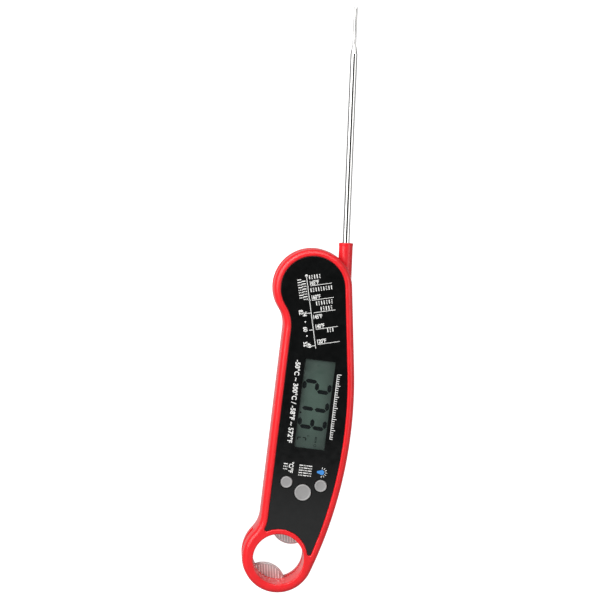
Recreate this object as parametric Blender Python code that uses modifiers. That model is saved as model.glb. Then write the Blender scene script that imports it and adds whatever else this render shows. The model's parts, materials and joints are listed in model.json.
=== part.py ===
"""Folding probe thermometer with a bottle-opener ring, for kitchens and butchers' counters.

The thermometer lies on its back: the back is at Z = 0 and the display looks up along +Z.
+Y runs from the opener ring to the head, where the probe pivots, and +X is to the right of
somebody who reads the front. The origin is the centre of the magnet's face on the back.
The probe is modelled unfolded. It folds by turning about the pivot in the head, anticlockwise
as seen from the front, until it lies along the straight side with its tip in the ring's slot.
"""

import math

import bmesh
import bpy
from mathutils import Matrix, Vector

MM = 0.001

# ---------------------------------------------------------------- driving dimensions

OBJECT_NAME = "folding_probe_thermometer"

# Clearances
GAP = 0.3 * MM                    # between pieces that touch or fit into each other
RUNNING = 0.4 * MM                # between pieces that turn or slide

# Grip outline, at the parting line. The axis line runs from the ring's centre to the pivot.
GRIP_LENGTH = 129.7 * MM          # ring centre to probe pivot
THICKNESS = 18.0 * MM             # back to front
HEAD_RADIUS = 18.9 * MM
RING_RADIUS = 17.25 * MM
BELLY_REACH = 27.25 * MM          # axis line to the curved side's furthest point
BELLY_HEIGHT = 61.3 * MM          # ring centre to that point, along the grip
SPINE_AT_RING = 10.7 * MM         # axis line to the straight side, level with the ring
SPINE_AT_HEAD = 11.7 * MM         # the same, level with the pivot
NECK_FILLET = 13.45 * MM          # hollow curve from the straight side into ring and head
OUTLINE_SAG = 0.07 * MM           # how far a straight facet may fall short of its arc

# Shells
WALL = 2.0 * MM
FLOOR = 2.0 * MM                  # back shell's floor
FACE_PLATE = 1.6 * MM             # front shell's plate under the panel
FRONT_ROUND = 1.9 * MM            # rounding of the outer edges
BACK_ROUND = 2.4 * MM
ROUND_STEPS = 2
MAGNET_X = 7.9 * MM               # magnet centre from the axis line
MAGNET_Y = 74.9 * MM              # magnet centre from the ring's centre

# Front panel
PANEL_INSET = 3.7 * MM            # outline to the panel's edge
PANEL_THICKNESS = 0.7 * MM
PANEL_RECESS = 0.6 * MM           # panel's face below the bezel
PANEL_RING_RADIUS = 14.15 * MM    # the ring's collar that the panel ends at

# Opener ring
HOLE_RADIUS = 12.15 * MM
HOLE_SHIFT_X = 0.2 * MM           # hole's centre from the ring's
HOLE_SHIFT_Y = -0.5 * MM
OPENER_RADIUS = 15.0 * MM         # outside of the steel plate
OPENER_INNER = 12.55 * MM
OPENER_THICKNESS = 1.6 * MM
OPENER_DEPTH = 4.0 * MM           # plate's lower face above the back
TONGUE_ANGLE = math.radians(252)  # direction of the lifting tongue
TONGUE_HALF_WIDTH = 8.2 * MM
TONGUE_REACH = 6.8 * MM
REST_HALF_WIDTH = 7.8 * MM        # the rest opposite the tongue
REST_REACH = 6.5 * MM

# Display
LCD_CENTRE_Y = 0.3 * MM           # from the magnet's centre
WINDOW_WIDTH = 14.9 * MM
WINDOW_HEIGHT = 42.8 * MM
LCD_MARGIN = 1.9 * MM             # glass beyond the window, each side
LCD_THICKNESS = 1.8 * MM
DIFFUSER_THICKNESS = 1.3 * MM
HOLDER_MARGIN = 1.6 * MM          # holder's rim beyond the glass
ZEBRA_WIDTH = 1.6 * MM
LED_SIZE = 2.4 * MM

# Circuit board
BOARD_WIDTH = 27.0 * MM
BOARD_THICKNESS = 1.2 * MM
BOARD_TO_SCREWS = 5.1 * MM        # board's upper end below the screws by the head
BOARD_CENTRE_X = -1.3 * MM        # from the magnet's centre
BOARD_FROM_SCREWS = 6.4 * MM      # board's lower end above the screws by the ring
BOARD_CORNER = 2.0 * MM
BOARD_DEPTH = 7.2 * MM            # board's upper face below the bezel
CHIP_RADIUS = 5.0 * MM
CHIP_HEIGHT = 1.5 * MM
CRYSTAL_RADIUS = 1.0 * MM
CRYSTAL_LENGTH = 6.0 * MM
REED_RADIUS = 0.9 * MM
REED_LENGTH = 10.0 * MM

# Buttons: name, x from the axis line, y from the ring's centre, radius
BUTTONS = (
    ("calibrate", -0.7 * MM, 36.9 * MM, 2.75 * MM),
    ("hold", 7.6 * MM, 32.8 * MM, 3.9 * MM),
    ("backlight", 15.7 * MM, 36.9 * MM, 2.85 * MM),
)
BUTTON_RISE = 0.35 * MM           # cap above the panel's face
BUTTON_ROUND = 0.35 * MM
BUTTON_SHADOW = 0.45 * MM         # ring-shaped gap between cap and panel
FLANGE_THICKNESS = 1.0 * MM
BUTTON_TRAVEL = 0.5 * MM
SEAL_WIDTH = 0.4 * MM             # seal round a cap, which its flange rests against
SWITCH_SIZE = 4.4 * MM
SWITCH_HEIGHT = 1.5 * MM
PLUNGER_RADIUS = 0.9 * MM

# Battery and its door, centred on one axis
CELL_X = 7.6 * MM                 # from the axis line
CELL_Y = 43.5 * MM                # from the ring's centre
CELL_RADIUS = 10.0 * MM
CELL_HEIGHT = 3.2 * MM
CELL_STEP = 1.1 * MM              # how much smaller the cell's minus face is
DOOR_RADIUS = 11.3 * MM
DOOR_THICKNESS = 1.8 * MM
DOOR_RECESS = 0.2 * MM            # door's face above the back
DOOR_CORE_RADIUS = DOOR_RADIUS - 0.5 * MM
LUG_COUNT = 3
LUG_REACH = 1.0 * MM              # lug beyond the door's edge
LUG_THICKNESS = 0.8 * MM
LUG_ARC = math.radians(22)
DOOR_TURN = math.radians(50)      # twist from locked to the notches
WELL_WALL = 1.2 * MM
COIN_SLOT_LENGTH = 13.0 * MM
COIN_SLOT_WIDTH = 1.9 * MM
COIN_SLOT_DEPTH = 1.0 * MM
DOOR_SEAL_RADIUS = 0.3 * MM       # half the cord of the door's O-ring
CONTACT_THICKNESS = 0.3 * MM
CONTACT_WIDTH = 4.0 * MM

# Magnet
MAGNET_RADIUS = 7.0 * MM
MAGNET_THICKNESS = 2.6 * MM
MAGNET_SEAT_WALL = 1.4 * MM

# Shell screws, their heights above the ring's centre and their distance from the outline
RING_SCREWS_Y = RING_RADIUS + 6.25 * MM
HEAD_SCREWS_Y = GRIP_LENGTH - HEAD_RADIUS - 5.8 * MM
SCREW_INSET = 5.6 * MM
SCREW_SHANK = 0.85 * MM
SCREW_HEAD = 1.8 * MM
SCREW_HEAD_HEIGHT = 1.2 * MM
SCREW_HEAD_DEPTH = 2.6 * MM       # head's underside above the back
SCREW_BITE = 4.0 * MM             # shank beyond the parting line
BOSS_WALL = 1.4 * MM

# Seal between the shells
GASKET_HEIGHT = 1.8 * MM
GASKET_OUT = 0.65 * MM            # gasket's edges either side of the cavity's wall
GASKET_IN = 0.25 * MM

# Probe, in its own frame: the pivot is the origin and the probe points along +Y
PROBE_LEAN = math.radians(5.13)   # unfolded probe against the grip's axis line
PROBE_OFFSET = 15.3 * MM          # pivot to the probe's centre line
PROBE_REACH = GRIP_LENGTH + 5.6 * MM  # pivot's level to the tip: it folds past the ring's centre
COLLAR_RADIUS = 3.3 * MM
COLLAR_LIP = 0.1 * MM             # rim at the collar's end
COLLAR_LIP_LENGTH = 1.3 * MM
COLLAR_END = 21.9 * MM            # pivot's level to the collar's end
TUBE_RADIUS = 1.7 * MM
TUBE_BORE = 1.2 * MM
TUBE_SEAT = 12.0 * MM             # pivot's level to the tube's lower end
THIN_RADIUS = 0.9 * MM
THIN_BORE = 0.6 * MM
THIN_LENGTH = 20.0 * MM
TAPER_LENGTH = 4.0 * MM
POINT_LENGTH = 2.6 * MM
BEAD_RADIUS = 0.35 * MM
BEAD_LENGTH = 2.4 * MM
CABLE_RADIUS = 0.28 * MM
CABLE_CROSSING = 3.15 * MM        # where the sensor's cable crosses the hub, past the pivot
BOARD_CABLE_RADIUS = 0.6 * MM

# Hub in the head
HUB_RADIUS = 14.4 * MM
HUB_HALF_HEIGHT = COLLAR_RADIUS + 0.05 * MM
POST_RADIUS = 4.0 * MM
SEAL_CORD = 0.7 * MM              # half the cord of the hub's O-rings
WASHER_INNER = 7.4 * MM
WASHER_OUTER = 11.0 * MM
WASHER_THICKNESS = 0.8 * MM
HUB_MAGNET_RADIUS = 1.5 * MM
HUB_MAGNET_HEIGHT = 2.0 * MM
STOP_ANGLE = math.radians(1.3)    # play before the unfolded arm meets its stop
SLOT_REACH = 27.0 * MM            # how far out the head is cut for the swinging arm
PIVOT_SHANK = 1.2 * MM
PIVOT_HEAD = 2.4 * MM

# ---------------------------------------------------------------- places that follow from them

RING = Vector((-MAGNET_X, -MAGNET_Y))
PIVOT = RING + Vector((0.0, GRIP_LENGTH))
HOLE = RING + Vector((HOLE_SHIFT_X, HOLE_SHIFT_Y))
CELL = RING + Vector((CELL_X, CELL_Y))
LCD = Vector((0.0, LCD_CENTRE_Y))
BOARD_START = RING.y + RING_SCREWS_Y + BOARD_FROM_SCREWS
BOARD_END = RING.y + HEAD_SCREWS_Y - BOARD_TO_SCREWS
BOARD_LENGTH = BOARD_END - BOARD_START
BOARD = Vector((BOARD_CENTRE_X, (BOARD_START + BOARD_END) / 2))
BELLY_RADIUS = ((BELLY_REACH ** 2 + BELLY_HEIGHT ** 2 - RING_RADIUS ** 2)
                / (2 * (BELLY_REACH - RING_RADIUS)))

PARTING = THICKNESS / 2
PROBE_LEVEL = PARTING
PANEL_TOP = THICKNESS - PANEL_RECESS
PANEL_BOTTOM = PANEL_TOP - PANEL_THICKNESS
PLATE_TOP = PANEL_BOTTOM - GAP
PLATE_BOTTOM = PLATE_TOP - FACE_PLATE
LCD_TOP = PANEL_BOTTOM - GAP
LCD_BOTTOM = LCD_TOP - LCD_THICKNESS
DIFFUSER_TOP = LCD_BOTTOM - GAP
BOARD_TOP = THICKNESS - BOARD_DEPTH
BOARD_BOTTOM = BOARD_TOP - BOARD_THICKNESS

HUB_CAVITY_RADIUS = HUB_RADIUS + RUNNING
HUB_LOW = PROBE_LEVEL - HUB_HALF_HEIGHT
HUB_HIGH = PROBE_LEVEL + HUB_HALF_HEIGHT
SLOT_LOW = HUB_LOW - RUNNING
SLOT_HIGH = HUB_HIGH + RUNNING
HEAD_KEEP = HEAD_RADIUS + WALL
RING_KEEP = RING_RADIUS + WALL

LCD_HALF = Vector((WINDOW_WIDTH / 2 + LCD_MARGIN, WINDOW_HEIGHT / 2 + LCD_MARGIN))
HOLDER_HALF = LCD_HALF + Vector((HOLDER_MARGIN, HOLDER_MARGIN))

DOOR_TOP = DOOR_RECESS + DOOR_THICKNESS
DOOR_HOLE_RADIUS = DOOR_RADIUS + GAP
LUG_RADIUS = DOOR_RADIUS + LUG_REACH
WELL_RADIUS = LUG_RADIUS + RUNNING
LUG_LOW = DOOR_TOP + GAP
LUG_HIGH = LUG_LOW + LUG_THICKNESS
CELL_LOW = LUG_HIGH + GAP
CELL_HIGH = CELL_LOW + CELL_HEIGHT


# ---------------------------------------------------------------- scene and materials

def clear_scene():
    for old in list(bpy.data.objects):
        bpy.data.objects.remove(old, do_unlink=True)


def new_collection(name):
    collection = bpy.data.collections.new(name)
    bpy.context.scene.collection.children.link(collection)
    return collection


def new_material(name, colour, roughness, metallic=0.0):
    material = bpy.data.materials.new(name)
    material.use_nodes = True
    shader = material.node_tree.nodes["Principled BSDF"]
    shader.inputs["Base Color"].default_value = (*colour, 1.0)
    shader.inputs["Roughness"].default_value = roughness
    shader.inputs["Metallic"].default_value = metallic
    return material


clear_scene()
PARTS = new_collection(OBJECT_NAME)
CUTTERS = new_collection("cutters")

RED = new_material("red_plastic", (0.93, 0.04, 0.05), 0.35)
BLACK = new_material("black_gloss", (0.01, 0.01, 0.011), 0.2)
CLEAR = new_material("clear_plastic", (0.75, 0.8, 0.78), 0.1)
DISPLAY = new_material("display_glass", (0.1, 0.15, 0.13), 0.25)
WHITE = new_material("white_plastic", (0.8, 0.8, 0.78), 0.5)
GREY = new_material("grey_plastic", (0.35, 0.35, 0.34), 0.45)
RUBBER = new_material("black_rubber", (0.02, 0.02, 0.02), 0.8)
STEEL = new_material("stainless_steel", (0.6, 0.6, 0.59), 0.25, 1.0)
NICKEL = new_material("nickel_plate", (0.65, 0.63, 0.58), 0.3, 1.0)
BOARD_GREEN = new_material("board_green", (0.02, 0.16, 0.06), 0.45)
EPOXY = new_material("black_epoxy", (0.015, 0.015, 0.015), 0.35)
GLASS = new_material("glass", (0.4, 0.55, 0.5), 0.05)
CABLE = new_material("cable_sheath", (0.5, 0.08, 0.05), 0.5)
NYLON = new_material("nylon", (0.75, 0.73, 0.66), 0.5)


# ---------------------------------------------------------------- shape helpers

def add_part(name, mesh, material, place=(0.0, 0.0, 0.0), parent=None):
    """Makes a sub-part. Its place is in the frame of its parent empty, if it has one."""
    part = bpy.data.objects.new(name, mesh)
    part.location = place
    part.parent = parent
    mesh.materials.clear()
    mesh.materials.append(material)
    PARTS.objects.link(part)
    return part


def add_cutter(mesh, place=(0.0, 0.0, 0.0), parent=None):
    cutter = bpy.data.objects.new("cutter", mesh)
    cutter.location = place
    cutter.parent = parent
    cutter.hide_render = True
    cutter.display_type = "WIRE"
    CUTTERS.objects.link(cutter)
    return cutter


def combine(part, other, operation):
    boolean = part.modifiers.new(operation.lower(), "BOOLEAN")
    boolean.operation = operation
    boolean.object = other
    return part


def cut(part, *tools):
    for tool in tools:
        combine(part, tool, "DIFFERENCE")
    return part


def join(part, *tools):
    for tool in tools:
        combine(part, tool, "UNION")
    return part


def evaluated_mesh(thing):
    """The mesh that a curve or a part with modifiers comes to, in its own frame."""
    graph = bpy.context.evaluated_depsgraph_get()
    return bpy.data.meshes.new_from_object(thing.evaluated_get(graph))


def edit_mesh(mesh, *steps):
    """Runs bmesh steps on a mesh in place."""
    work = bmesh.new()
    work.from_mesh(mesh)
    for step in steps:
        step(work)
    work.to_mesh(mesh)
    work.free()
    return mesh


def weld(work):
    bmesh.ops.remove_doubles(work, verts=work.verts, dist=0.001 * MM)


def flatten_caps(work):
    bmesh.ops.dissolve_limit(work, angle_limit=0.001, verts=work.verts, edges=work.edges)


def slab(loops, low, high):
    """A flat outline with any holes, from level low to level high: a mesh centred on z = 0."""
    curve = bpy.data.curves.new("outline", "CURVE")
    curve.dimensions = "2D"
    curve.fill_mode = "BOTH"
    curve.extrude = (high - low) / 2
    for loop in loops:
        spline = curve.splines.new("POLY")
        spline.points.add(len(loop) - 1)
        for point, corner in zip(spline.points, loop):
            point.co = (corner[0], corner[1], 0.0, 1.0)
        spline.use_cyclic_u = True
    guide = bpy.data.objects.new("outline", curve)
    CUTTERS.objects.link(guide)
    mesh = evaluated_mesh(guide)
    bpy.data.objects.remove(guide)
    bpy.data.curves.remove(curve)
    return edit_mesh(mesh, weld, flatten_caps)


def slab_part(name, loops, low, high, material):
    return add_part(name, slab(loops, low, high), material, (0.0, 0.0, (low + high) / 2))


def slab_cutter(loops, low, high):
    return add_cutter(slab(loops, low, high), (0.0, 0.0, (low + high) / 2))


def disc(radius, height, sides=32):
    """An upright cylinder about its own centre."""
    mesh = bpy.data.meshes.new("disc")

    def build(work):
        bmesh.ops.create_cone(work, cap_ends=True, segments=sides, radius1=radius,
                              radius2=radius, depth=height)

    return edit_mesh(mesh, build)


def disc_cutter(centre, radius, low, high, sides=32, parent=None):
    place = (centre[0], centre[1], (low + high) / 2)
    return add_cutter(disc(radius, high - low, sides), place, parent)


def block(size):
    mesh = bpy.data.meshes.new("block")

    def build(work):
        bmesh.ops.create_cube(work, size=1.0, matrix=Matrix.Diagonal((*size, 1.0)))

    return edit_mesh(mesh, build)


def block_between(low_corner, high_corner):
    """The mesh and the centre of the block between two corners."""
    low_corner = Vector(low_corner)
    high_corner = Vector(high_corner)
    return block(high_corner - low_corner), (low_corner + high_corner) / 2


def block_part(name, low_corner, high_corner, material, parent=None):
    mesh, centre = block_between(low_corner, high_corner)
    return add_part(name, mesh, material, centre, parent)


def block_cutter(low_corner, high_corner, parent=None):
    mesh, centre = block_between(low_corner, high_corner)
    return add_cutter(mesh, centre, parent)


def profile_mesh(profile, closed):
    """The edges of a profile given as (radius, height) pairs."""
    mesh = bpy.data.meshes.new("profile")
    points = [(radius, 0.0, height) for radius, height in profile]
    edges = [(i, i + 1) for i in range(len(points) - 1)]
    if closed:
        edges.append((len(points) - 1, 0))
    mesh.from_pydata(points, edges, [])
    return mesh


def turn(thing, sides):
    """Turns a profile about its own z axis."""
    screw = thing.modifiers.new("turned", "SCREW")
    screw.steps = sides
    screw.render_steps = sides
    screw.use_merge_vertices = True
    screw.merge_threshold = 0.001 * MM
    return thing


def turned_part(name, profile, place, material, sides=32, closed=False, parent=None):
    return turn(add_part(name, profile_mesh(profile, closed), material, place, parent), sides)


def turned_cutter(profile, place, sides=32, closed=False, parent=None):
    return turn(add_cutter(profile_mesh(profile, closed), place, parent), sides)


def ring_profile(inner, outer, low, high):
    """A closed rectangular profile that turns into a flat ring."""
    return [(outer, high), (outer, low), (inner, low), (inner, high)]


def torus(radius, cord, cord_sides=6):
    """A closed round profile that turns into an O-ring."""
    step = -2 * math.pi / cord_sides
    return [(radius + cord * math.cos(i * step), cord * math.sin(i * step))
            for i in range(cord_sides)]


def strip_part(name, path, width, thickness, material, place, turn_z=0.0):
    """A bent metal strip: path is its bends in its own x-z plane, width is along y."""
    mesh = bpy.data.meshes.new(name)
    points = [(x, -width / 2, z) for x, z in path]
    mesh.from_pydata(points, [(i, i + 1) for i in range(len(points) - 1)], [])

    def widen(work):
        made = bmesh.ops.extrude_edge_only(work, edges=work.edges[:])["geom"]
        moved = [item for item in made if isinstance(item, bmesh.types.BMVert)]
        bmesh.ops.translate(work, verts=moved, vec=(0.0, width, 0.0))

    strip = add_part(name, edit_mesh(mesh, widen), material, place)
    strip.rotation_euler = (0.0, 0.0, turn_z)
    solidify = strip.modifiers.new("thickness", "SOLIDIFY")
    solidify.thickness = thickness
    solidify.offset = 0.0
    solidify.use_even_offset = True
    return strip


def cable_part(name, route, radius, material, place=(0.0, 0.0, 0.0), parent=None):
    """A round cable through the points of its route."""
    curve = bpy.data.curves.new(name, "CURVE")
    curve.dimensions = "3D"
    curve.bevel_depth = radius
    curve.bevel_resolution = 2
    curve.use_fill_caps = True
    spline = curve.splines.new("POLY")
    spline.points.add(len(route) - 1)
    for point, corner in zip(spline.points, route):
        point.co = (*corner, 1.0)
    guide = bpy.data.objects.new("route", curve)
    CUTTERS.objects.link(guide)
    mesh = edit_mesh(evaluated_mesh(guide), weld)
    bpy.data.objects.remove(guide)
    bpy.data.curves.remove(curve)
    return add_part(name, mesh, material, place, parent)


def round_edges(part, width, chosen, segments=ROUND_STEPS):
    """Rounds the edges whose two ends both pass the chosen test."""
    mesh = part.data

    def mark(work):
        weight = work.edges.layers.float.new("bevel_weight_edge")
        for edge in work.edges:
            if all(chosen(vert.co) for vert in edge.verts):
                edge[weight] = 1.0

    edit_mesh(mesh, mark)
    bevel = part.modifiers.new("rounded", "BEVEL")
    bevel.limit_method = "WEIGHT"
    bevel.width = width
    bevel.segments = segments
    return part


def freeze(part):
    """Replaces a part's modifiers with the mesh they make, so that copies can share it."""
    mesh = evaluated_mesh(part)
    part.modifiers.clear()
    part.data = mesh
    return mesh


# ---------------------------------------------------------------- outlines

def arc_points(centre, radius, start, end, sag=OUTLINE_SAG):
    """Points along an arc, close enough together for the sag."""
    facet = 2 * math.acos(1 - sag / radius)
    count = max(2, math.ceil(abs(end - start) / facet))
    return [Vector((centre[0] + radius * math.cos(start + (end - start) * i / count),
                    centre[1] + radius * math.sin(start + (end - start) * i / count)))
            for i in range(count + 1)]


def heading(vector):
    return math.atan2(vector.y, vector.x)


def fillet_centre(corner, along, outward, disc_centre, disc_radius, side):
    """Centre of the neck fillet that touches the straight side and a disc.

    side is +1 for the touch point further along the straight side, and -1 for the nearer.
    """
    start = corner + outward * NECK_FILLET - disc_centre
    reach = disc_radius + NECK_FILLET
    middle = start.dot(along)
    root = math.sqrt(middle * middle - start.dot(start) + reach * reach)
    return corner + outward * NECK_FILLET + along * (-middle + side * root)


def grip_arcs():
    """The grip's outline as arcs joined by straight lines, anticlockwise from the ring.

    Each is (centre, radius, bulge, start, end), where bulge is -1 on the hollow fillets.
    """
    apex = RING + Vector((BELLY_REACH, BELLY_HEIGHT))
    belly = apex - Vector((BELLY_RADIUS, 0.0))
    belly_start = heading(RING - belly)
    to_head = PIVOT - belly
    shoulder = heading(to_head) - math.acos((BELLY_RADIUS - HEAD_RADIUS) / to_head.length)
    low_end = RING - Vector((SPINE_AT_RING, 0.0))
    high_end = PIVOT - Vector((SPINE_AT_HEAD, 0.0))
    along = (high_end - low_end).normalized()
    outward = Vector((-along.y, along.x))
    neck = fillet_centre(low_end, along, outward, PIVOT, HEAD_RADIUS, -1)
    heel = fillet_centre(low_end, along, outward, RING, RING_RADIUS, 1)
    head_end = heading(neck - PIVOT) % (2 * math.pi)
    ring_start = heading(heel - RING)
    ring_end = belly_start + 2 * math.pi
    inward = heading(-outward)
    return (
        (belly, BELLY_RADIUS, 1, belly_start, shoulder),
        (PIVOT, HEAD_RADIUS, 1, shoulder, head_end),
        (neck, NECK_FILLET, -1, heading(PIVOT - neck), inward),
        (heel, NECK_FILLET, -1, inward, heading(RING - heel)),
        (RING, RING_RADIUS, 1, ring_start, ring_end),
    )


def grip_sides(height):
    """The straight side's and the curved side's x, at a height above the ring's centre."""
    lean = (SPINE_AT_HEAD - SPINE_AT_RING) / GRIP_LENGTH
    rise = height - BELLY_HEIGHT
    belly = BELLY_REACH - BELLY_RADIUS + math.sqrt(BELLY_RADIUS ** 2 - rise ** 2)
    return RING.x - SPINE_AT_RING - lean * height, RING.x + belly


def shell_screw_places():
    places = []
    for height in (RING_SCREWS_Y, HEAD_SCREWS_Y):
        left, right = grip_sides(height)
        places.append(Vector((left + SCREW_INSET, RING.y + height)))
        places.append(Vector((right - SCREW_INSET, RING.y + height)))
    return places


def grip_outline(grow=0.0):
    """The grip's outline moved outwards by grow."""
    points = []
    for centre, radius, bulge, start, end in grip_arcs():
        for point in arc_points(centre, radius + bulge * grow, start, end):
            if not points or (point - points[-1]).length > 0.01 * MM:
                points.append(point)
    if (points[0] - points[-1]).length < 0.01 * MM:
        points.pop()
    return points


def circle(centre, radius, sag=OUTLINE_SAG):
    return arc_points(centre, radius, 0.0, 2 * math.pi, sag)[:-1]


def rounded_rectangle(centre, half, corner):
    """Anticlockwise from the lower right corner."""
    points = []
    for quarter, (sx, sy) in enumerate(((1, -1), (1, 1), (-1, 1), (-1, -1))):
        middle = Vector((centre[0] + sx * (half[0] - corner), centre[1] + sy * (half[1] - corner)))
        start = (quarter - 1) * math.pi / 2
        points += arc_points(middle, corner, start, start + math.pi / 2)
    return points


def humped_circle(centre, radius, humps):
    """A circle with rounded humps that reach inwards, for the edge of a hole.

    Each hump is (direction, half width, reach), in order of direction, and is an arc.
    """
    points = []
    start = 0.0
    for direction, half_width, reach in humps:
        spread = math.asin(half_width / radius)
        points += arc_points(centre, radius, start, direction - spread)
        height = radius * math.cos(spread) - (radius - reach)
        hump_radius = (half_width ** 2 + height ** 2) / (2 * height)
        opening = math.atan2(half_width, hump_radius - height)
        middle = centre + (radius - reach + hump_radius) * Vector((math.cos(direction),
                                                                   math.sin(direction)))
        first = direction - math.pi + opening
        points += arc_points(middle, hump_radius, first, first - 2 * opening)[1:-1]
        start = direction + spread
    points += arc_points(centre, radius, start, 2 * math.pi)[:-1]
    return points


# ---------------------------------------------------------------- shared cutters

def cavity_mesh(grow, low, high):
    """The space inside the shells between head and ring, with its walls moved by grow."""
    space = slab_part("space", [grip_outline(grow - WALL)], low, high, RED)
    head = disc_cutter(PIVOT, HEAD_KEEP - grow, low - WALL, high + WALL)
    ring = disc_cutter(RING, RING_KEEP - grow, low - WALL, high + WALL)
    cut(space, head, ring)
    bpy.context.view_layer.update()
    mesh = evaluated_mesh(space)
    for used in (space, head, ring):
        bpy.data.objects.remove(used)
    return mesh


def cavity_cutter(grow, low, high):
    return add_cutter(cavity_mesh(grow, low, high), (0.0, 0.0, (low + high) / 2))


def arm_slot_outline():
    """Where the head is open at its edge for the probe's arm, from its stop to the fold."""
    start = PROBE_LEAN - STOP_ANGLE
    inner = PROBE_OFFSET - COLLAR_RADIUS - COLLAR_LIP - RUNNING
    outer_arc = arc_points(PIVOT, SLOT_REACH, start, math.pi)
    inner_arc = arc_points(PIVOT, inner, math.pi, start)
    below = -COLLAR_END - COLLAR_RADIUS
    corners = [PIVOT + Vector((-SLOT_REACH, below)), PIVOT + Vector((-inner, below))]
    return outer_arc + corners + inner_arc


def tip_slot_cutter():
    """The slot in the ring's side that the folded probe's tip lies in."""
    half = TUBE_RADIUS + RUNNING
    right = RING.x - PROBE_OFFSET + half
    low = PIVOT.y - PROBE_REACH - TUBE_RADIUS
    high = RING.y + RING_RADIUS
    return block_cutter((right - RING_RADIUS, low, PROBE_LEVEL - half),
                        (right, high, PROBE_LEVEL + half))


ARM_SLOT = slab_cutter([arm_slot_outline()], SLOT_LOW, SLOT_HIGH)
HUB_SPACE = disc_cutter(PIVOT, HUB_CAVITY_RADIUS, SLOT_LOW, SLOT_HIGH, 48)
TIP_SLOT = tip_slot_cutter()
RING_HOLE = disc_cutter(HOLE, HOLE_RADIUS, -WALL, THICKNESS + WALL, 48)
CABLE_WAY = block_cutter(
    (PIVOT.x - BOARD_CABLE_RADIUS * 3, PIVOT.y - HEAD_KEEP - WALL, SLOT_LOW),
    (PIVOT.x + BOARD_CABLE_RADIUS * 3, PIVOT.y - POST_RADIUS - WALL * 3,
     SLOT_LOW + BOARD_CABLE_RADIUS * 3))
GASKET_SEAT_GROW = GASKET_OUT + GAP
GASKET_SEAT = cavity_cutter(GASKET_SEAT_GROW, PARTING - GASKET_HEIGHT / 2 - GAP,
                            PARTING + GASKET_HEIGHT / 2 + GAP)


# ---------------------------------------------------------------- front shell

def front_shell():
    low = PARTING + GAP / 2
    shell = slab_part("front_shell", [grip_outline()], low, THICKNESS, RED)
    round_edges(shell, FRONT_ROUND, lambda co: co.z > 0)
    recess = slab_part("recess", [grip_outline(GAP - PANEL_INSET)], PLATE_TOP,
                       THICKNESS + WALL, RED)
    collar = disc_cutter(RING, PANEL_RING_RADIUS - GAP, PLATE_TOP - WALL, THICKNESS + 2 * WALL)
    cut(recess, collar)
    bpy.context.view_layer.update()
    opening = add_cutter(evaluated_mesh(recess), recess.location)
    for used in (recess, collar):
        bpy.data.objects.remove(used)
    cut(shell, opening, RING_HOLE, cavity_cutter(0.0, low - WALL, PLATE_BOTTOM), GASKET_SEAT)

    spigot = slab_cutter([circle(HOLE, OPENER_RADIUS), circle(HOLE, HOLE_RADIUS)],
                         OPENER_DEPTH + OPENER_THICKNESS + GAP, low + WALL)
    join(shell, spigot)

    glass_hole = LCD_HALF + Vector((GAP, GAP))
    cut(shell, slab_cutter([rounded_rectangle(LCD, glass_hole, WALL / 2)],
                           PLATE_BOTTOM - WALL, THICKNESS))
    for _, x, y, radius in BUTTONS:
        hole = radius + GAP + SEAL_WIDTH + GAP
        cut(shell, disc_cutter(RING + Vector((x, y)), hole, PLATE_BOTTOM - WALL, THICKNESS, 28))

    for place in shell_screw_places():
        boss = SCREW_SHANK + GAP + BOSS_WALL
        join(shell, disc_cutter(place, boss, low, PLATE_BOTTOM + FACE_PLATE / 2, 16))
        cut(shell, disc_cutter(place, SCREW_SHANK + GAP, low - WALL,
                               low + SCREW_BITE + GAP, 12))
    cut(shell, HUB_SPACE, ARM_SLOT, TIP_SLOT)
    cut(shell, disc_cutter(PIVOT, PIVOT_SHANK + GAP, SLOT_HIGH - WALL, PLATE_TOP - WALL / 2, 12))
    return shell


# ---------------------------------------------------------------- back shell

def door_notches():
    """Gaps in the lip that let the door's lugs in once it is turned by DOOR_TURN."""
    width = 2 * WELL_RADIUS * math.sin(LUG_ARC / 2) + 2 * GAP
    outer = math.sqrt(WELL_RADIUS ** 2 - width ** 2 / 4)
    depth = 2 * LUG_REACH
    middle = outer - depth / 2
    notches = []
    for index in range(LUG_COUNT):
        angle = index * 2 * math.pi / LUG_COUNT - DOOR_TURN
        mesh = block((depth, width, FLOOR * 3))
        notch = add_cutter(mesh, (CELL.x + middle * math.cos(angle),
                                  CELL.y + middle * math.sin(angle), FLOOR / 2))
        notch.rotation_euler = (0.0, 0.0, angle)
        notches.append(notch)
    return notches


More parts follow.
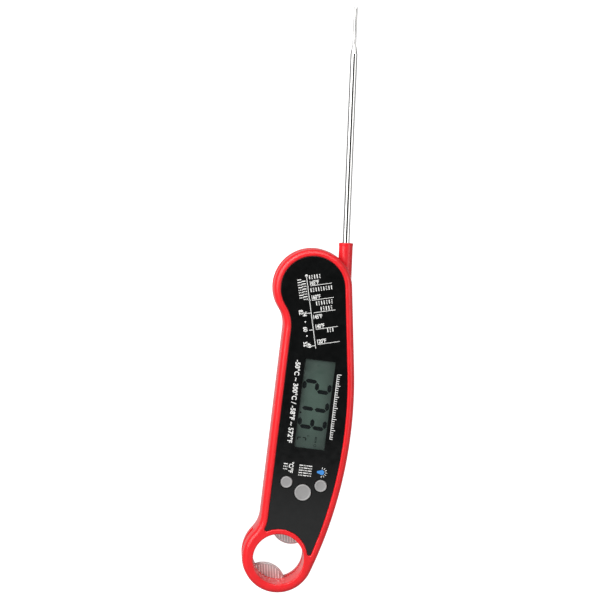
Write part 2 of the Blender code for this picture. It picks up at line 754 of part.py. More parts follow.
def back_shell():
    high = PARTING - GAP / 2
    shell = slab_part("back_shell", [grip_outline()], 0.0, high, RED)
    round_edges(shell, BACK_ROUND, lambda co: co.z < 0)
    cut(shell, RING_HOLE, cavity_cutter(0.0, FLOOR, high + WALL), GASKET_SEAT)
    cut(shell, disc_cutter(HOLE, OPENER_RADIUS + GAP, OPENER_DEPTH - GAP, high + WALL, 48))

    join(shell, disc_cutter(CELL, WELL_RADIUS + WELL_WALL, FLOOR / 2, CELL_HIGH))
    cut(shell, disc_cutter(CELL, WELL_RADIUS, DOOR_TOP, CELL_HIGH + WALL))
    cut(shell, disc_cutter(CELL, DOOR_HOLE_RADIUS, -FLOOR, FLOOR + WALL))
    cut(shell, *door_notches())

    origin = Vector((0.0, 0.0))
    seat_top = MAGNET_THICKNESS + GAP
    join(shell, disc_cutter(origin, MAGNET_RADIUS + GAP + MAGNET_SEAT_WALL, FLOOR / 2,
                            seat_top + MAGNET_SEAT_WALL))
    cut(shell, disc_cutter(origin, MAGNET_RADIUS + GAP, -FLOOR, seat_top))

    for place in shell_screw_places():
        join(shell, disc_cutter(place, SCREW_HEAD + GAP + BOSS_WALL / 2, FLOOR / 2, high, 16))
        cut(shell, disc_cutter(place, SCREW_SHANK + GAP, -FLOOR, high + WALL, 12))
        cut(shell, disc_cutter(place, SCREW_HEAD + GAP, -FLOOR, SCREW_HEAD_DEPTH - GAP, 20))

    cut(shell, HUB_SPACE, ARM_SLOT, TIP_SLOT)
    join(shell, disc_cutter(PIVOT, POST_RADIUS, SLOT_LOW - WALL, SLOT_HIGH - GAP, 24))
    cut(shell, disc_cutter(PIVOT, PIVOT_SHANK + GAP, -FLOOR, SLOT_HIGH + WALL, 12))
    cut(shell, disc_cutter(PIVOT, PIVOT_HEAD + GAP, -FLOOR, SCREW_HEAD_DEPTH - GAP, 20))
    cut(shell, CABLE_WAY)
    return shell


def shell_gasket():
    """One closed loop of rubber between the shells, round the space that holds the works."""
    low = PARTING - GASKET_HEIGHT / 2
    high = PARTING + GASKET_HEIGHT / 2
    gasket = add_part("shell_gasket", cavity_mesh(GASKET_OUT, low, high), RUBBER,
                      (0.0, 0.0, PARTING))
    return cut(gasket, cavity_cutter(-GASKET_IN, low - WALL, high + WALL))


# ---------------------------------------------------------------- front panel and display

def face_panel():
    panel = slab_part("face_panel", [grip_outline(-PANEL_INSET)], PANEL_BOTTOM, PANEL_TOP, BLACK)
    cut(panel, disc_cutter(RING, PANEL_RING_RADIUS, PANEL_BOTTOM - WALL, PANEL_TOP + WALL))
    window = Vector((WINDOW_WIDTH / 2, WINDOW_HEIGHT / 2))
    cut(panel, slab_cutter([rounded_rectangle(LCD, window, WALL / 4)],
                           PANEL_BOTTOM - WALL, PANEL_TOP + WALL))
    for _, x, y, radius in BUTTONS:
        cut(panel, disc_cutter(RING + Vector((x, y)), radius + BUTTON_SHADOW,
                               PANEL_BOTTOM - WALL, PANEL_TOP + WALL, 28))
    return panel


def display():
    window = Vector((WINDOW_WIDTH / 2 - GAP, WINDOW_HEIGHT / 2 - GAP))
    slab_part("display_window", [rounded_rectangle(LCD, window, WALL / 4)],
              PANEL_BOTTOM, PANEL_TOP, CLEAR)
    block_part("lcd_glass", (*(LCD - LCD_HALF), LCD_BOTTOM), (*(LCD + LCD_HALF), LCD_TOP), DISPLAY)

    inner = Vector((LCD_HALF.x - ZEBRA_WIDTH - GAP, LCD_HALF.y))
    block_part("backlight_diffuser",
               (*(LCD - inner), DIFFUSER_TOP - DIFFUSER_THICKNESS),
               (*(LCD + inner), DIFFUSER_TOP), WHITE)
    for name, side in (("zebra_strip_left", -1), ("zebra_strip_right", 1)):
        middle = LCD + Vector((side * (LCD_HALF.x - ZEBRA_WIDTH / 2), 0.0))
        half = Vector((ZEBRA_WIDTH / 2, LCD_HALF.y))
        block_part(name, (*(middle - half), BOARD_TOP + GAP), (*(middle + half), DIFFUSER_TOP),
                   RUBBER)

    holder_hole = LCD_HALF + Vector((GAP, GAP))
    slab_part("lcd_holder", [rounded_rectangle(LCD, HOLDER_HALF, HOLDER_MARGIN / 2),
                             rounded_rectangle(LCD, holder_hole, GAP)],
              BOARD_TOP + GAP, PLATE_BOTTOM - GAP, WHITE)
    led = Vector((LED_SIZE / 2, LED_SIZE / 2))
    block_part("backlight_led", (*(LCD - led), BOARD_TOP + GAP),
               (*(LCD + led), DIFFUSER_TOP - DIFFUSER_THICKNESS - GAP), CLEAR)


# ---------------------------------------------------------------- circuit board

def circuit_board():
    half = Vector((BOARD_WIDTH / 2, BOARD_LENGTH / 2))
    slab_part("circuit_board", [rounded_rectangle(BOARD, half, BOARD_CORNER)],
              BOARD_BOTTOM, BOARD_TOP, BOARD_GREEN)
    under = BOARD_BOTTOM - GAP
    turned_part("controller_chip",
                [(0.0, under), (CHIP_RADIUS, under), (CHIP_RADIUS * 0.9, under - CHIP_HEIGHT * 0.6),
                 (CHIP_RADIUS * 0.6, under - CHIP_HEIGHT * 0.92), (0.0, under - CHIP_HEIGHT)],
                (LCD.x, LCD.y, 0.0), EPOXY, 28)
    crystal = add_part("timing_crystal", disc(CRYSTAL_RADIUS, CRYSTAL_LENGTH, 16), NICKEL,
                       (LCD.x + CHIP_RADIUS + 2 * CRYSTAL_RADIUS + GAP, LCD.y,
                        under - CRYSTAL_RADIUS))
    crystal.rotation_euler = (math.pi / 2, 0.0, 0.0)
    reed = add_part("reed_switch", disc(REED_RADIUS, REED_LENGTH, 16), GLASS,
                    (PIVOT.x + REED_LENGTH, BOARD.y + BOARD_LENGTH / 2 - 3 * REED_RADIUS,
                     under - REED_RADIUS))
    reed.rotation_euler = (0.0, math.pi / 2, 0.0)


# ---------------------------------------------------------------- buttons

def button(name, place, radius):
    """A button cap on its slide, with the plunger that presses its switch."""
    top = PANEL_TOP + BUTTON_RISE
    flange_top = PLATE_BOTTOM - GAP
    flange_low = flange_top - FLANGE_THICKNESS
    flange = radius + GAP + SEAL_WIDTH
    turned_part("button_" + name,
                [(0.0, top), (radius - BUTTON_ROUND, top), (radius, top - BUTTON_ROUND),
                 (radius, flange_top), (flange, flange_top), (flange, flange_low),
                 (0.0, flange_low)],
                (*place, 0.0), GREY, 28)
    turned_part("button_seal_" + name,
                ring_profile(radius + GAP, radius + GAP + SEAL_WIDTH, PLATE_BOTTOM + GAP,
                             PLATE_TOP - GAP),
                (*place, 0.0), RUBBER, 24, closed=True)
    plunger_top = flange_low - GAP
    switch_top = BOARD_TOP + GAP + SWITCH_HEIGHT
    plunger_low = switch_top - BUTTON_TRAVEL
    add_part("switch_plunger_" + name,
             disc(PLUNGER_RADIUS, plunger_top - plunger_low, 16), BLACK,
             (*place, (plunger_top + plunger_low) / 2))
    half = Vector((SWITCH_SIZE / 2, SWITCH_SIZE / 2))
    switch = block_part("switch_" + name, (*(place - half), BOARD_TOP + GAP),
                        (*(place + half), switch_top - GAP), NICKEL)
    cut(switch, disc_cutter(place, PLUNGER_RADIUS + GAP, BOARD_TOP, switch_top + WALL, 16))


# ---------------------------------------------------------------- battery

def battery():
    turned_part("battery_cell",
                [(0.0, CELL_HIGH), (CELL_RADIUS - CELL_STEP, CELL_HIGH),
                 (CELL_RADIUS - CELL_STEP, CELL_HIGH - GAP), (CELL_RADIUS, CELL_HIGH - 2 * GAP),
                 (CELL_RADIUS, CELL_LOW), (0.0, CELL_LOW)],
                (*CELL, 0.0), NICKEL, 36)
    tongue_low = CELL_HIGH + GAP + CONTACT_THICKNESS / 2
    tongue_high = BOARD_BOTTOM - GAP - CONTACT_THICKNESS / 2
    strip_part("battery_contact_minus",
               [(-CELL_RADIUS * 0.6, tongue_high), (-CELL_RADIUS * 0.35, tongue_high),
                (CELL_RADIUS * 0.1, tongue_low), (CELL_RADIUS * 0.45, tongue_low)],
               CONTACT_WIDTH, CONTACT_THICKNESS, NICKEL, (*CELL, 0.0))
    side = (CELL_RADIUS + WELL_RADIUS) / 2
    strip_part("battery_contact_plus",
               [(side, CELL_LOW + GAP), (side, tongue_high), (side + 2 * CONTACT_WIDTH / 3, tongue_high)],
               CONTACT_WIDTH, CONTACT_THICKNESS, NICKEL, (*CELL, 0.0), math.radians(200))


def battery_door():
    """A round door that a coin turns. Its lugs hold behind the lip of the back shell."""
    groove = DOOR_SEAL_RADIUS * 2 + 2 * GAP
    groove_radius = DOOR_RADIUS - DOOR_SEAL_RADIUS * 2 - GAP
    middle = (DOOR_RECESS + DOOR_TOP) / 2
    door = turned_part("battery_door",
                       [(0.0, LUG_HIGH), (DOOR_CORE_RADIUS, LUG_HIGH), (DOOR_CORE_RADIUS, DOOR_TOP),
                        (DOOR_RADIUS, DOOR_TOP), (DOOR_RADIUS, middle + groove / 2),
                        (groove_radius, middle + groove / 2), (groove_radius, middle - groove / 2),
                        (DOOR_RADIUS, middle - groove / 2), (DOOR_RADIUS, DOOR_RECESS),
                        (0.0, DOOR_RECESS)],
                       (*CELL, 0.0), RED, 40)
    rim = disc_cutter(CELL, LUG_RADIUS, LUG_LOW, LUG_HIGH, 40)
    for index in range(LUG_COUNT):
        angle = index * 2 * math.pi / LUG_COUNT
        length = LUG_RADIUS - DOOR_CORE_RADIUS + 3 * LUG_REACH
        middle_radius = LUG_RADIUS + LUG_REACH - length / 2
        lug = add_cutter(block((length, 2 * LUG_RADIUS * math.sin(LUG_ARC / 2), LUG_THICKNESS)),
                         (CELL.x + middle_radius * math.cos(angle),
                          CELL.y + middle_radius * math.sin(angle), (LUG_LOW + LUG_HIGH) / 2))
        lug.rotation_euler = (0.0, 0.0, angle)
        combine(lug, rim, "INTERSECT")
        join(door, lug)
    cut(door, slab_cutter([rounded_rectangle(
        CELL, (COIN_SLOT_LENGTH / 2, COIN_SLOT_WIDTH / 2), COIN_SLOT_WIDTH / 4)],
        -FLOOR, DOOR_RECESS + COIN_SLOT_DEPTH))
    turned_part("battery_door_seal",
                [(radius + DOOR_RADIUS - DOOR_SEAL_RADIUS - GAP / 4, height + middle)
                 for radius, height in torus(0.0, DOOR_SEAL_RADIUS)],
                (*CELL, 0.0), RUBBER, 28, closed=True)


# ---------------------------------------------------------------- fasteners and small parts

def screw_mesh(head, head_height, shank, length):
    """A pan-head screw with a cross recess: its head points down and its seat is z = 0."""
    screw = turned_part("screw_pattern",
                        [(0.0, length), (shank * 0.5, length), (shank, length - shank),
                         (shank, 0.0), (head, 0.0), (head, -head_height * 0.6),
                         (head * 0.75, -head_height), (0.0, -head_height)],
                        (0.0, 0.0, 0.0), STEEL, 12)
    slot = head * 0.3
    for size in ((head, slot, head_height), (slot, head, head_height)):
        cut(screw, add_cutter(block(size), (0.0, 0.0, -head_height)))
    bpy.context.view_layer.update()
    mesh = freeze(screw)
    bpy.data.objects.remove(screw)
    return mesh


def fasteners():
    length = PARTING - SCREW_HEAD_DEPTH + SCREW_BITE
    shared = screw_mesh(SCREW_HEAD, SCREW_HEAD_HEIGHT, SCREW_SHANK, length)
    seat = SCREW_HEAD_DEPTH - 2 * GAP
    for number, place in enumerate(shell_screw_places(), 1):
        add_part(f"shell_screw_{number}", shared, STEEL, (*place, seat))
    pivot_length = PLATE_TOP - WALL - SCREW_HEAD_DEPTH
    pivot = screw_mesh(PIVOT_HEAD, SCREW_HEAD_HEIGHT, PIVOT_SHANK, pivot_length)
    add_part("pivot_screw", pivot, STEEL, (*PIVOT, seat))


def magnet():
    turned_part("magnet",
                [(0.0, MAGNET_THICKNESS), (MAGNET_RADIUS, MAGNET_THICKNESS),
                 (MAGNET_RADIUS, 0.0), (0.0, 0.0)],
                (0.0, 0.0, 0.0), NICKEL, 36)


def opener_plate():
    """The steel plate in the ring: its tongue lifts a bottle cap against the rest opposite."""
    humps = ((TONGUE_ANGLE - math.pi, REST_HALF_WIDTH, REST_REACH),
             (TONGUE_ANGLE, TONGUE_HALF_WIDTH, TONGUE_REACH))
    return slab_part("opener_plate",
                     [circle(HOLE, OPENER_RADIUS), humped_circle(HOLE, OPENER_INNER, humps)],
                     OPENER_DEPTH, OPENER_DEPTH + OPENER_THICKNESS, STEEL)


# ---------------------------------------------------------------- probe

def probe_axis():
    """An empty on the pivot's axis, turned so that the unfolded probe points along its +Y."""
    axis = bpy.data.objects.new("probe_axis", None)
    axis.location = (*PIVOT, PROBE_LEVEL)
    axis.rotation_euler = (0.0, 0.0, PROBE_LEAN)
    PARTS.objects.link(axis)
    return axis


AXIS = probe_axis()
ALONG_PROBE = (-math.pi / 2, 0.0, 0.0)


def probe_arm():
    """The hub that turns on the post, with the collar that holds the probe's tube."""
    arm = add_part("probe_arm", disc(HUB_RADIUS, 2 * HUB_HALF_HEIGHT, 48), RED,
                   parent=AXIS)
    lip = COLLAR_RADIUS + COLLAR_LIP
    collar = turned_cutter([(0.0, COLLAR_END), (lip, COLLAR_END),
                            (lip, COLLAR_END - COLLAR_LIP_LENGTH),
                            (COLLAR_RADIUS, COLLAR_END - COLLAR_LIP_LENGTH),
                            (COLLAR_RADIUS, 0.0), (0.0, 0.0)],
                           (PROBE_OFFSET, 0.0, 0.0), 24, parent=AXIS)
    collar.rotation_euler = ALONG_PROBE
    join(arm, collar)

    bore = add_cutter(disc(TUBE_RADIUS + GAP, COLLAR_END, 16),
                      (PROBE_OFFSET, TUBE_SEAT - GAP + COLLAR_END / 2, 0.0), AXIS)
    bore.rotation_euler = ALONG_PROBE
    way_half = CABLE_RADIUS + RUNNING
    way = block_cutter((PROBE_OFFSET - way_half, CABLE_CROSSING, -way_half),
                       (PROBE_OFFSET + way_half, TUBE_SEAT + GAP, way_half), AXIS)
    across = block_cutter((POST_RADIUS, CABLE_CROSSING, -way_half),
                          (PROBE_OFFSET + way_half, CABLE_CROSSING + 2 * way_half,
                           HUB_HALF_HEIGHT + WALL), AXIS)
    cut(arm, bore, way, across)

    ring_room = 2 * SEAL_CORD + 2 * GAP
    seat = POST_RADIUS + GAP + ring_room
    for side in (-1, 1):
        end = side * (HUB_HALF_HEIGHT + WALL)
        start = side * (HUB_HALF_HEIGHT - ring_room)
        cut(arm, disc_cutter((0.0, 0.0), seat, min(start, end), max(start, end), 24, AXIS))
    washer_low = HUB_HALF_HEIGHT - WASHER_THICKNESS - GAP / 2
    cut(arm, disc_cutter((0.0, 0.0), POST_RADIUS + RUNNING, -HUB_HALF_HEIGHT - WALL,
                         HUB_HALF_HEIGHT + WALL, 24, AXIS))
    washer_seat = turned_cutter(ring_profile(WASHER_INNER - GAP, WASHER_OUTER + GAP, washer_low,
                                             HUB_HALF_HEIGHT + WALL),
                                (0.0, 0.0, 0.0), 28, closed=True, parent=AXIS)
    cut(arm, washer_seat)
    cut(arm, disc_cutter((HUB_RADIUS * 0.5, -HUB_RADIUS * 0.6), HUB_MAGNET_RADIUS + GAP,
                         -HUB_HALF_HEIGHT - WALL, -HUB_HALF_HEIGHT + HUB_MAGNET_HEIGHT + GAP,
                         16, AXIS))
    return arm


def hub_pieces():
    """What sits in the hub: seals and washer round the post, and the switch's magnet."""
    level = HUB_HALF_HEIGHT - SEAL_CORD - GAP / 2
    radius = POST_RADIUS + GAP + SEAL_CORD
    for name, side in (("hub_seal_back", -1), ("hub_seal_front", 1)):
        turned_part(name, [(radius + r, h) for r, h in torus(0.0, SEAL_CORD)],
                    (*PIVOT, PROBE_LEVEL + side * level), RUBBER, 24, closed=True)
    washer_high = SLOT_HIGH - GAP
    turned_part("friction_washer",
                ring_profile(WASHER_INNER, WASHER_OUTER, washer_high - WASHER_THICKNESS,
                             washer_high),
                (*PIVOT, 0.0), NYLON, 28, closed=True)
    add_part("hub_magnet", disc(HUB_MAGNET_RADIUS, HUB_MAGNET_HEIGHT, 16), NICKEL,
             (HUB_RADIUS * 0.5, -HUB_RADIUS * 0.6, HUB_MAGNET_HEIGHT / 2 - HUB_HALF_HEIGHT), AXIS)


def probe():
    """The steel tube with its thin tip, the temperature sensor in it and the sensor's cable."""
    shoulder = PROBE_REACH - THIN_LENGTH - TAPER_LENGTH
    bore_end = PROBE_REACH - POINT_LENGTH
    tube = turned_part("probe_tube",
                       [(0.0, PROBE_REACH), (THIN_RADIUS, PROBE_REACH - POINT_LENGTH),
                        (THIN_RADIUS, shoulder + TAPER_LENGTH), (TUBE_RADIUS, shoulder),
                        (TUBE_RADIUS, TUBE_SEAT), (TUBE_BORE, TUBE_SEAT),
                        (TUBE_BORE, shoulder), (THIN_BORE, shoulder + TAPER_LENGTH),
                        (THIN_BORE, bore_end), (0.0, bore_end)],
                       (PROBE_OFFSET, 0.0, 0.0), STEEL, 16, parent=AXIS)
    tube.rotation_euler = ALONG_PROBE
    bead_end = bore_end - GAP
    half = BEAD_LENGTH / 2
    cap = BEAD_RADIUS * 0.6
    bead = turned_part("temperature_sensor",
                       [(0.0, half), (cap, half), (BEAD_RADIUS, half - cap),
                        (BEAD_RADIUS, cap - half), (cap, -half), (0.0, -half)],
                       (PROBE_OFFSET, bead_end - half, 0.0), GLASS, 12, parent=AXIS)
    bead.rotation_euler = ALONG_PROBE
    way = CABLE_CROSSING + CABLE_RADIUS + RUNNING
    cable_part("sensor_cable",
               [(PROBE_OFFSET, bead_end - BEAD_LENGTH - GAP, 0.0), (PROBE_OFFSET, way + WALL, 0.0),
                (PROBE_OFFSET - CABLE_RADIUS, way + CABLE_RADIUS, 0.0),
                (PROBE_OFFSET - WALL, way, 0.0), (WASHER_INNER, way, 0.0)],
               CABLE_RADIUS, CABLE, parent=AXIS)


def board_cable():
    """The cable from the hub to the circuit board, through the wall below the hub."""
    level = SLOT_LOW + BOARD_CABLE_RADIUS * 1.5
    start = PIVOT.y - HUB_CAVITY_RADIUS - GAP
    end = BOARD.y + BOARD_LENGTH / 2 - WALL
    cable_part("board_cable",
               [(PIVOT.x, start, level), (PIVOT.x, start - 2 * WALL, level),
                (PIVOT.x, end + WALL, level), (PIVOT.x + WALL / 2, end, level + WALL / 4),
                (PIVOT.x + WALL, end - WALL, level + WALL / 4)],
               BOARD_CABLE_RADIUS, CABLE)


front_shell()
back_shell()
shell_gasket()
face_panel()
display()
circuit_board()
for label, button_x, button_y, button_radius in BUTTONS:
    button(label, RING + Vector((button_x, button_y)), button_radius)
battery()
battery_door()
fasteners()
magnet()
opener_plate()
probe_arm()
hub_pieces()
probe()
board_cable()
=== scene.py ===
"""Looks of the folding probe thermometer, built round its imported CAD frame.

The thermometer lies on its back with its display up: +Z is up, +Y runs from the opener ring
to the head, and +X is to the right of somebody who reads the front. Everything is in metres.
Each visible CAD node gets a finer piece that stands for it, or a finish of its own.
"""

import json
import math

import bmesh
import bpy
from mathutils import Matrix, Vector

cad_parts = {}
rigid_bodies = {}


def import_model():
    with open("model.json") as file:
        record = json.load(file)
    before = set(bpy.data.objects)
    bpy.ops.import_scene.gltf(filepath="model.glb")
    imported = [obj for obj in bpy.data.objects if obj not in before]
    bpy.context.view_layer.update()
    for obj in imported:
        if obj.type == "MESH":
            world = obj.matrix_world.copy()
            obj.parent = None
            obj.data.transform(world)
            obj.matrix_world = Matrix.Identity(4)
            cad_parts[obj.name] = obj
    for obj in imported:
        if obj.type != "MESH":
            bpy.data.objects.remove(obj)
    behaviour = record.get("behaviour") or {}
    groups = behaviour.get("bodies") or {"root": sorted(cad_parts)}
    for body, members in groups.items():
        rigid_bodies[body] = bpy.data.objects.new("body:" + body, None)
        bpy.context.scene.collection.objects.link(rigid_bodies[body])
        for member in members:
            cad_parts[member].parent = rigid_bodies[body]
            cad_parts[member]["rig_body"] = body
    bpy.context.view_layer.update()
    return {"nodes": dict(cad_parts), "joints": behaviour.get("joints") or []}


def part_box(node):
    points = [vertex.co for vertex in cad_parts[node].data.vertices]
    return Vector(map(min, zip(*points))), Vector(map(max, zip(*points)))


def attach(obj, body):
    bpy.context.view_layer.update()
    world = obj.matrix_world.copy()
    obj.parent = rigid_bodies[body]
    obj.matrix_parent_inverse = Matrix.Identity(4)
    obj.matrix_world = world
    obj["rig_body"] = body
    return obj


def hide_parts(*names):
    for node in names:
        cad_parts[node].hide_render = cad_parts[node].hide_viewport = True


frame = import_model()

MM = 0.001
MERGE_DISTANCE = 0.0005 * MM

# ---------------------------------------------------------------- sizes and places

# Levels and radii read from the frame
SHELL_LOW, SHELL_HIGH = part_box("front_shell")
BACK_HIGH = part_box("back_shell")[1].z
PANEL_LOW, PANEL_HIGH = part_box("face_panel")
OPENER_LOW, OPENER_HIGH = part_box("opener_plate")
DOOR_LOW, DOOR_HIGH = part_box("battery_door")
CELL_LOW, CELL_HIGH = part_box("battery_cell")
MAGNET_LOW, MAGNET_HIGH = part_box("magnet")
LCD_LOW, LCD_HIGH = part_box("lcd_glass")
WINDOW_LOW, WINDOW_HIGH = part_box("display_window")

GAP = 0.3 * MM
JOINTS = {joint["name"]: joint for joint in frame["joints"]}
PIVOT = Vector(JOINTS["probe_fold"]["pos_m"][:2])
PROBE_LEVEL = JOINTS["probe_fold"]["pos_m"][2]
HEAD_RADIUS = SHELL_HIGH.y - PIVOT.y
BELLY_REACH = SHELL_HIGH.x - PIVOT.x
RING_RADIUS = 17.25 * MM
RING = Vector((PIVOT.x, SHELL_LOW.y + RING_RADIUS))
HOLE = (OPENER_LOW.xy + OPENER_HIGH.xy) / 2
CELL = (CELL_LOW.xy + CELL_HIGH.xy) / 2
MAGNET = (MAGNET_LOW.xy + MAGNET_HIGH.xy) / 2
LCD = (LCD_LOW.xy + LCD_HIGH.xy) / 2
PARTING = BACK_HIGH + GAP / 2
FRONT = SHELL_HIGH.z
PANEL_TOP = PANEL_HIGH.z
PANEL_BOTTOM = PANEL_LOW.z
PLATE_TOP = PANEL_BOTTOM - GAP

# Grip outline, as the CAD draws it
BELLY_HEIGHT = 61.3 * MM
SPINE_AT_RING = 10.7 * MM
SPINE_AT_HEAD = 11.7 * MM
NECK_FILLET = 13.45 * MM
WALL = 2.0 * MM
GASKET_OUT = 0.65 * MM            # how far the gasket's seat goes into the wall
FACE_PLATE = 1.6 * MM
PLATE_BOTTOM = PLATE_TOP - FACE_PLATE
ARC_STEP = math.radians(3)        # longest facets of an outline's arcs
ARC_LENGTH = 4.0 * MM

# Bezel and back edge sections
GROOVE = 0.2 * MM                 # parting line, cut into each shell
DRAFT = 0.3 * MM                  # how far the side leans in below the rounding
BEAD_REACH = 2.55 * MM            # outer rounding of the front: inwards and down
BEAD_DROP = 2.6 * MM
BEAD_STEPS = 10
PANEL_INSET = 3.7 * MM            # outline to the panel's edge
PANEL_GAP = 0.12 * MM             # dark line round the panel
PANEL_RING_RADIUS = 14.15 * MM
PANEL_CORNER = 0.9 * MM
LIP_ROUND = 0.75 * MM             # bezel's inner rounding, and the ring hole's
BACK_REACH = 2.6 * MM
BACK_DROP = 2.6 * MM

# Opener ring
HOLE_RADIUS = 12.15 * MM
OPENER_INNER = 12.55 * MM
OPENER_GROOVE = 15.3 * MM
SPIGOT_RADIUS = 15.0 * MM         # front shell's rim, down onto the plate
TONGUE_ANGLE = math.radians(252)
TONGUE_HALF_WIDTH = 8.2 * MM
TONGUE_REACH = 6.8 * MM
REST_HALF_WIDTH = 7.8 * MM
REST_REACH = 6.5 * MM

# Buttons: name, bodies and nodes share it
BUTTONS = ("calibrate", "hold", "backlight")
BUTTON_SHADOW = 0.45 * MM
CAP_FLANGE = 0.7 * MM             # flange beyond the cap's radius

# Hub and probe
PROBE_LEAN = math.radians(5.13)
PROBE_OFFSET = 15.3 * MM
PROBE_REACH = 135.3 * MM
COLLAR_RADIUS = 3.3 * MM
COLLAR_LIP = 0.1 * MM
COLLAR_END = 21.9 * MM
TUBE_RADIUS = 1.7 * MM
TUBE_BORE = 1.2 * MM
TUBE_SEAT = 12.0 * MM
THIN_RADIUS = 0.9 * MM
THIN_BORE = 0.6 * MM
THIN_LENGTH = 20.0 * MM
TAPER_LENGTH = 4.0 * MM
POINT_LENGTH = 2.6 * MM
HUB_RADIUS = 14.4 * MM
HUB_HALF_HEIGHT = 3.35 * MM
RUNNING = 0.4 * MM
SLOT_LOW = PROBE_LEVEL - HUB_HALF_HEIGHT - RUNNING
SLOT_HIGH = PROBE_LEVEL + HUB_HALF_HEIGHT + RUNNING
SLOT_REACH = 27.0 * MM
STOP_ANGLE = math.radians(1.3)
POST_RADIUS = 4.0 * MM
SEAL_ROOM = 2.0 * MM              # width and depth of the seats for the hub's O-rings
WASHER_OUTER = 11.3 * MM          # seat of the friction washer
WASHER_INNER = 7.1 * MM
HUB_MAGNET_RADIUS = 1.6 * MM      # pocket of the hub's magnet
HUB_MAGNET_DEPTH = 2.2 * MM
CABLE_WAY = 0.7 * MM              # half the width of the cable's way
PIVOT_SHANK = 1.2 * MM

# Screws
SCREWS = [f"shell_screw_{number}" for number in (1, 2, 3, 4)] + ["pivot_screw"]
SCREW_SHANK = 0.85 * MM
SCREW_WELL = 0.3 * MM             # well beyond the screw's head
WELL_DEPTH = 2.3 * MM
BOSS_WALL = 1.4 * MM

# Battery door
DOOR_RADIUS = 11.3 * MM
DOOR_RECESS = DOOR_LOW.z
DOOR_THICKNESS = 1.8 * MM
DOOR_STEP = 0.5 * MM              # core within the face's radius
DOOR_WELL = 1.4 * MM              # room for the lugs beyond the door's radius
DOOR_WELL_WALL = 1.2 * MM
COIN_SLOT = Vector((13.0 * MM, 1.9 * MM))
COIN_DEPTH = 1.0 * MM


# ---------------------------------------------------------------- materials

def new_finish(name, colour, roughness, metallic=0.0):
    """A material with its Principled shader and object coordinates, in metres."""
    material = bpy.data.materials.new(name)
    material.use_nodes = True
    nodes = material.node_tree.nodes
    shader = nodes["Principled BSDF"]
    shader.inputs["Base Color"].default_value = (*colour, 1.0)
    shader.inputs["Roughness"].default_value = roughness
    shader.inputs["Metallic"].default_value = metallic
    where = nodes.new("ShaderNodeTexCoord")
    where.name = "where"
    return material


def noise(material, size, detail=3.0, stretch=(1.0, 1.0, 1.0), turn=0.0):
    """Noise whose grains are about size across, drawn out along an axis by a small stretch."""
    nodes, links = material.node_tree.nodes, material.node_tree.links
    mapping = nodes.new("ShaderNodeMapping")
    mapping.inputs["Scale"].default_value = stretch
    mapping.inputs["Rotation"].default_value = (0.0, 0.0, turn)
    grain = nodes.new("ShaderNodeTexNoise")
    grain.inputs["Scale"].default_value = 1.0 / size
    grain.inputs["Detail"].default_value = detail
    links.new(nodes["where"].outputs["Object"], mapping.inputs["Vector"])
    links.new(mapping.outputs["Vector"], grain.inputs["Vector"])
    return grain.outputs["Fac"]


def vary(material, socket, factor, low, high):
    """Drives a number of the shader from low to high by a factor from 0.3 to 0.7."""
    nodes, links = material.node_tree.nodes, material.node_tree.links
    spread = nodes.new("ShaderNodeMapRange")
    spread.inputs["From Min"].default_value = 0.3
    spread.inputs["From Max"].default_value = 0.7
    spread.inputs["To Min"].default_value = low
    spread.inputs["To Max"].default_value = high
    links.new(factor, spread.inputs["Value"])
    links.new(spread.outputs["Result"], nodes["Principled BSDF"].inputs[socket])


def tint(material, factor, colours, edges=(0.35, 0.65)):
    """Blends the base colour between two by a factor."""
    nodes, links = material.node_tree.nodes, material.node_tree.links
    ramp = nodes.new("ShaderNodeValToRGB")
    for stop, edge, colour in zip(ramp.color_ramp.elements, edges, colours):
        stop.position = edge
        stop.color = (*colour, 1.0)
    links.new(factor, ramp.inputs["Fac"])
    links.new(ramp.outputs["Color"], nodes["Principled BSDF"].inputs["Base Color"])


def roughen(material, factor, height, strength=1.0):
    """Bump of about height, in metres."""
    nodes, links = material.node_tree.nodes, material.node_tree.links
    bump = nodes.new("ShaderNodeBump")
    bump.inputs["Distance"].default_value = height
    bump.inputs["Strength"].default_value = strength
    before = nodes["Principled BSDF"].inputs["Normal"]
    if before.is_linked:
        links.new(before.links[0].from_socket, bump.inputs["Normal"])
    links.new(factor, bump.inputs["Height"])
    links.new(bump.outputs["Normal"], before)


def shades(colour, spread):
    """A colour made a little darker and a little lighter."""
    return [tuple(min(1.0, c * k) for c in colour) for k in (1.0 - spread, 1.0 + spread)]


def plastic(name, colour, roughness, spread=0.05, grain=0.35 * MM, height=0.006 * MM,
            shine=0.5):
    """Moulded plastic: faint colour clouds, uneven gloss and the mould's fine texture."""
    material = new_finish(name, colour, roughness)
    tint(material, noise(material, 9 * MM), shades(colour, spread))
    vary(material, "Roughness", noise(material, 3 * MM, 5.0), roughness * 0.8, roughness * 1.25)
    roughen(material, noise(material, grain, 2.0), height)
    roughen(material, noise(material, 14 * MM, 1.0), 0.015 * MM, 0.4)
    shader = material.node_tree.nodes["Principled BSDF"]
    shader.inputs["Specular IOR Level"].default_value = shine
    return material


def metal(name, colour, roughness, stretch=(1.0, 1.0, 1.0), turn=0.0, grain=0.5 * MM,
          height=0.004 * MM):
    """Metal with the streaks of its drawing, rolling or brushing."""
    material = new_finish(name, colour, roughness, 1.0)
    streaks = noise(material, grain, 4.0, stretch, turn)
    tint(material, noise(material, 6 * MM, 4.0), shades(colour, 0.06))
    vary(material, "Roughness", streaks, roughness * 0.7, roughness * 1.4)
    roughen(material, streaks, height)
    return material


def rubber(name, colour):
    material = new_finish(name, colour, 0.75)
    tint(material, noise(material, 2 * MM, 4.0), shades(colour, 0.2))
    vary(material, "Roughness", noise(material, 1 * MM, 4.0), 0.65, 0.85)
    roughen(material, noise(material, 0.12 * MM, 2.0), 0.01 * MM)
    return material


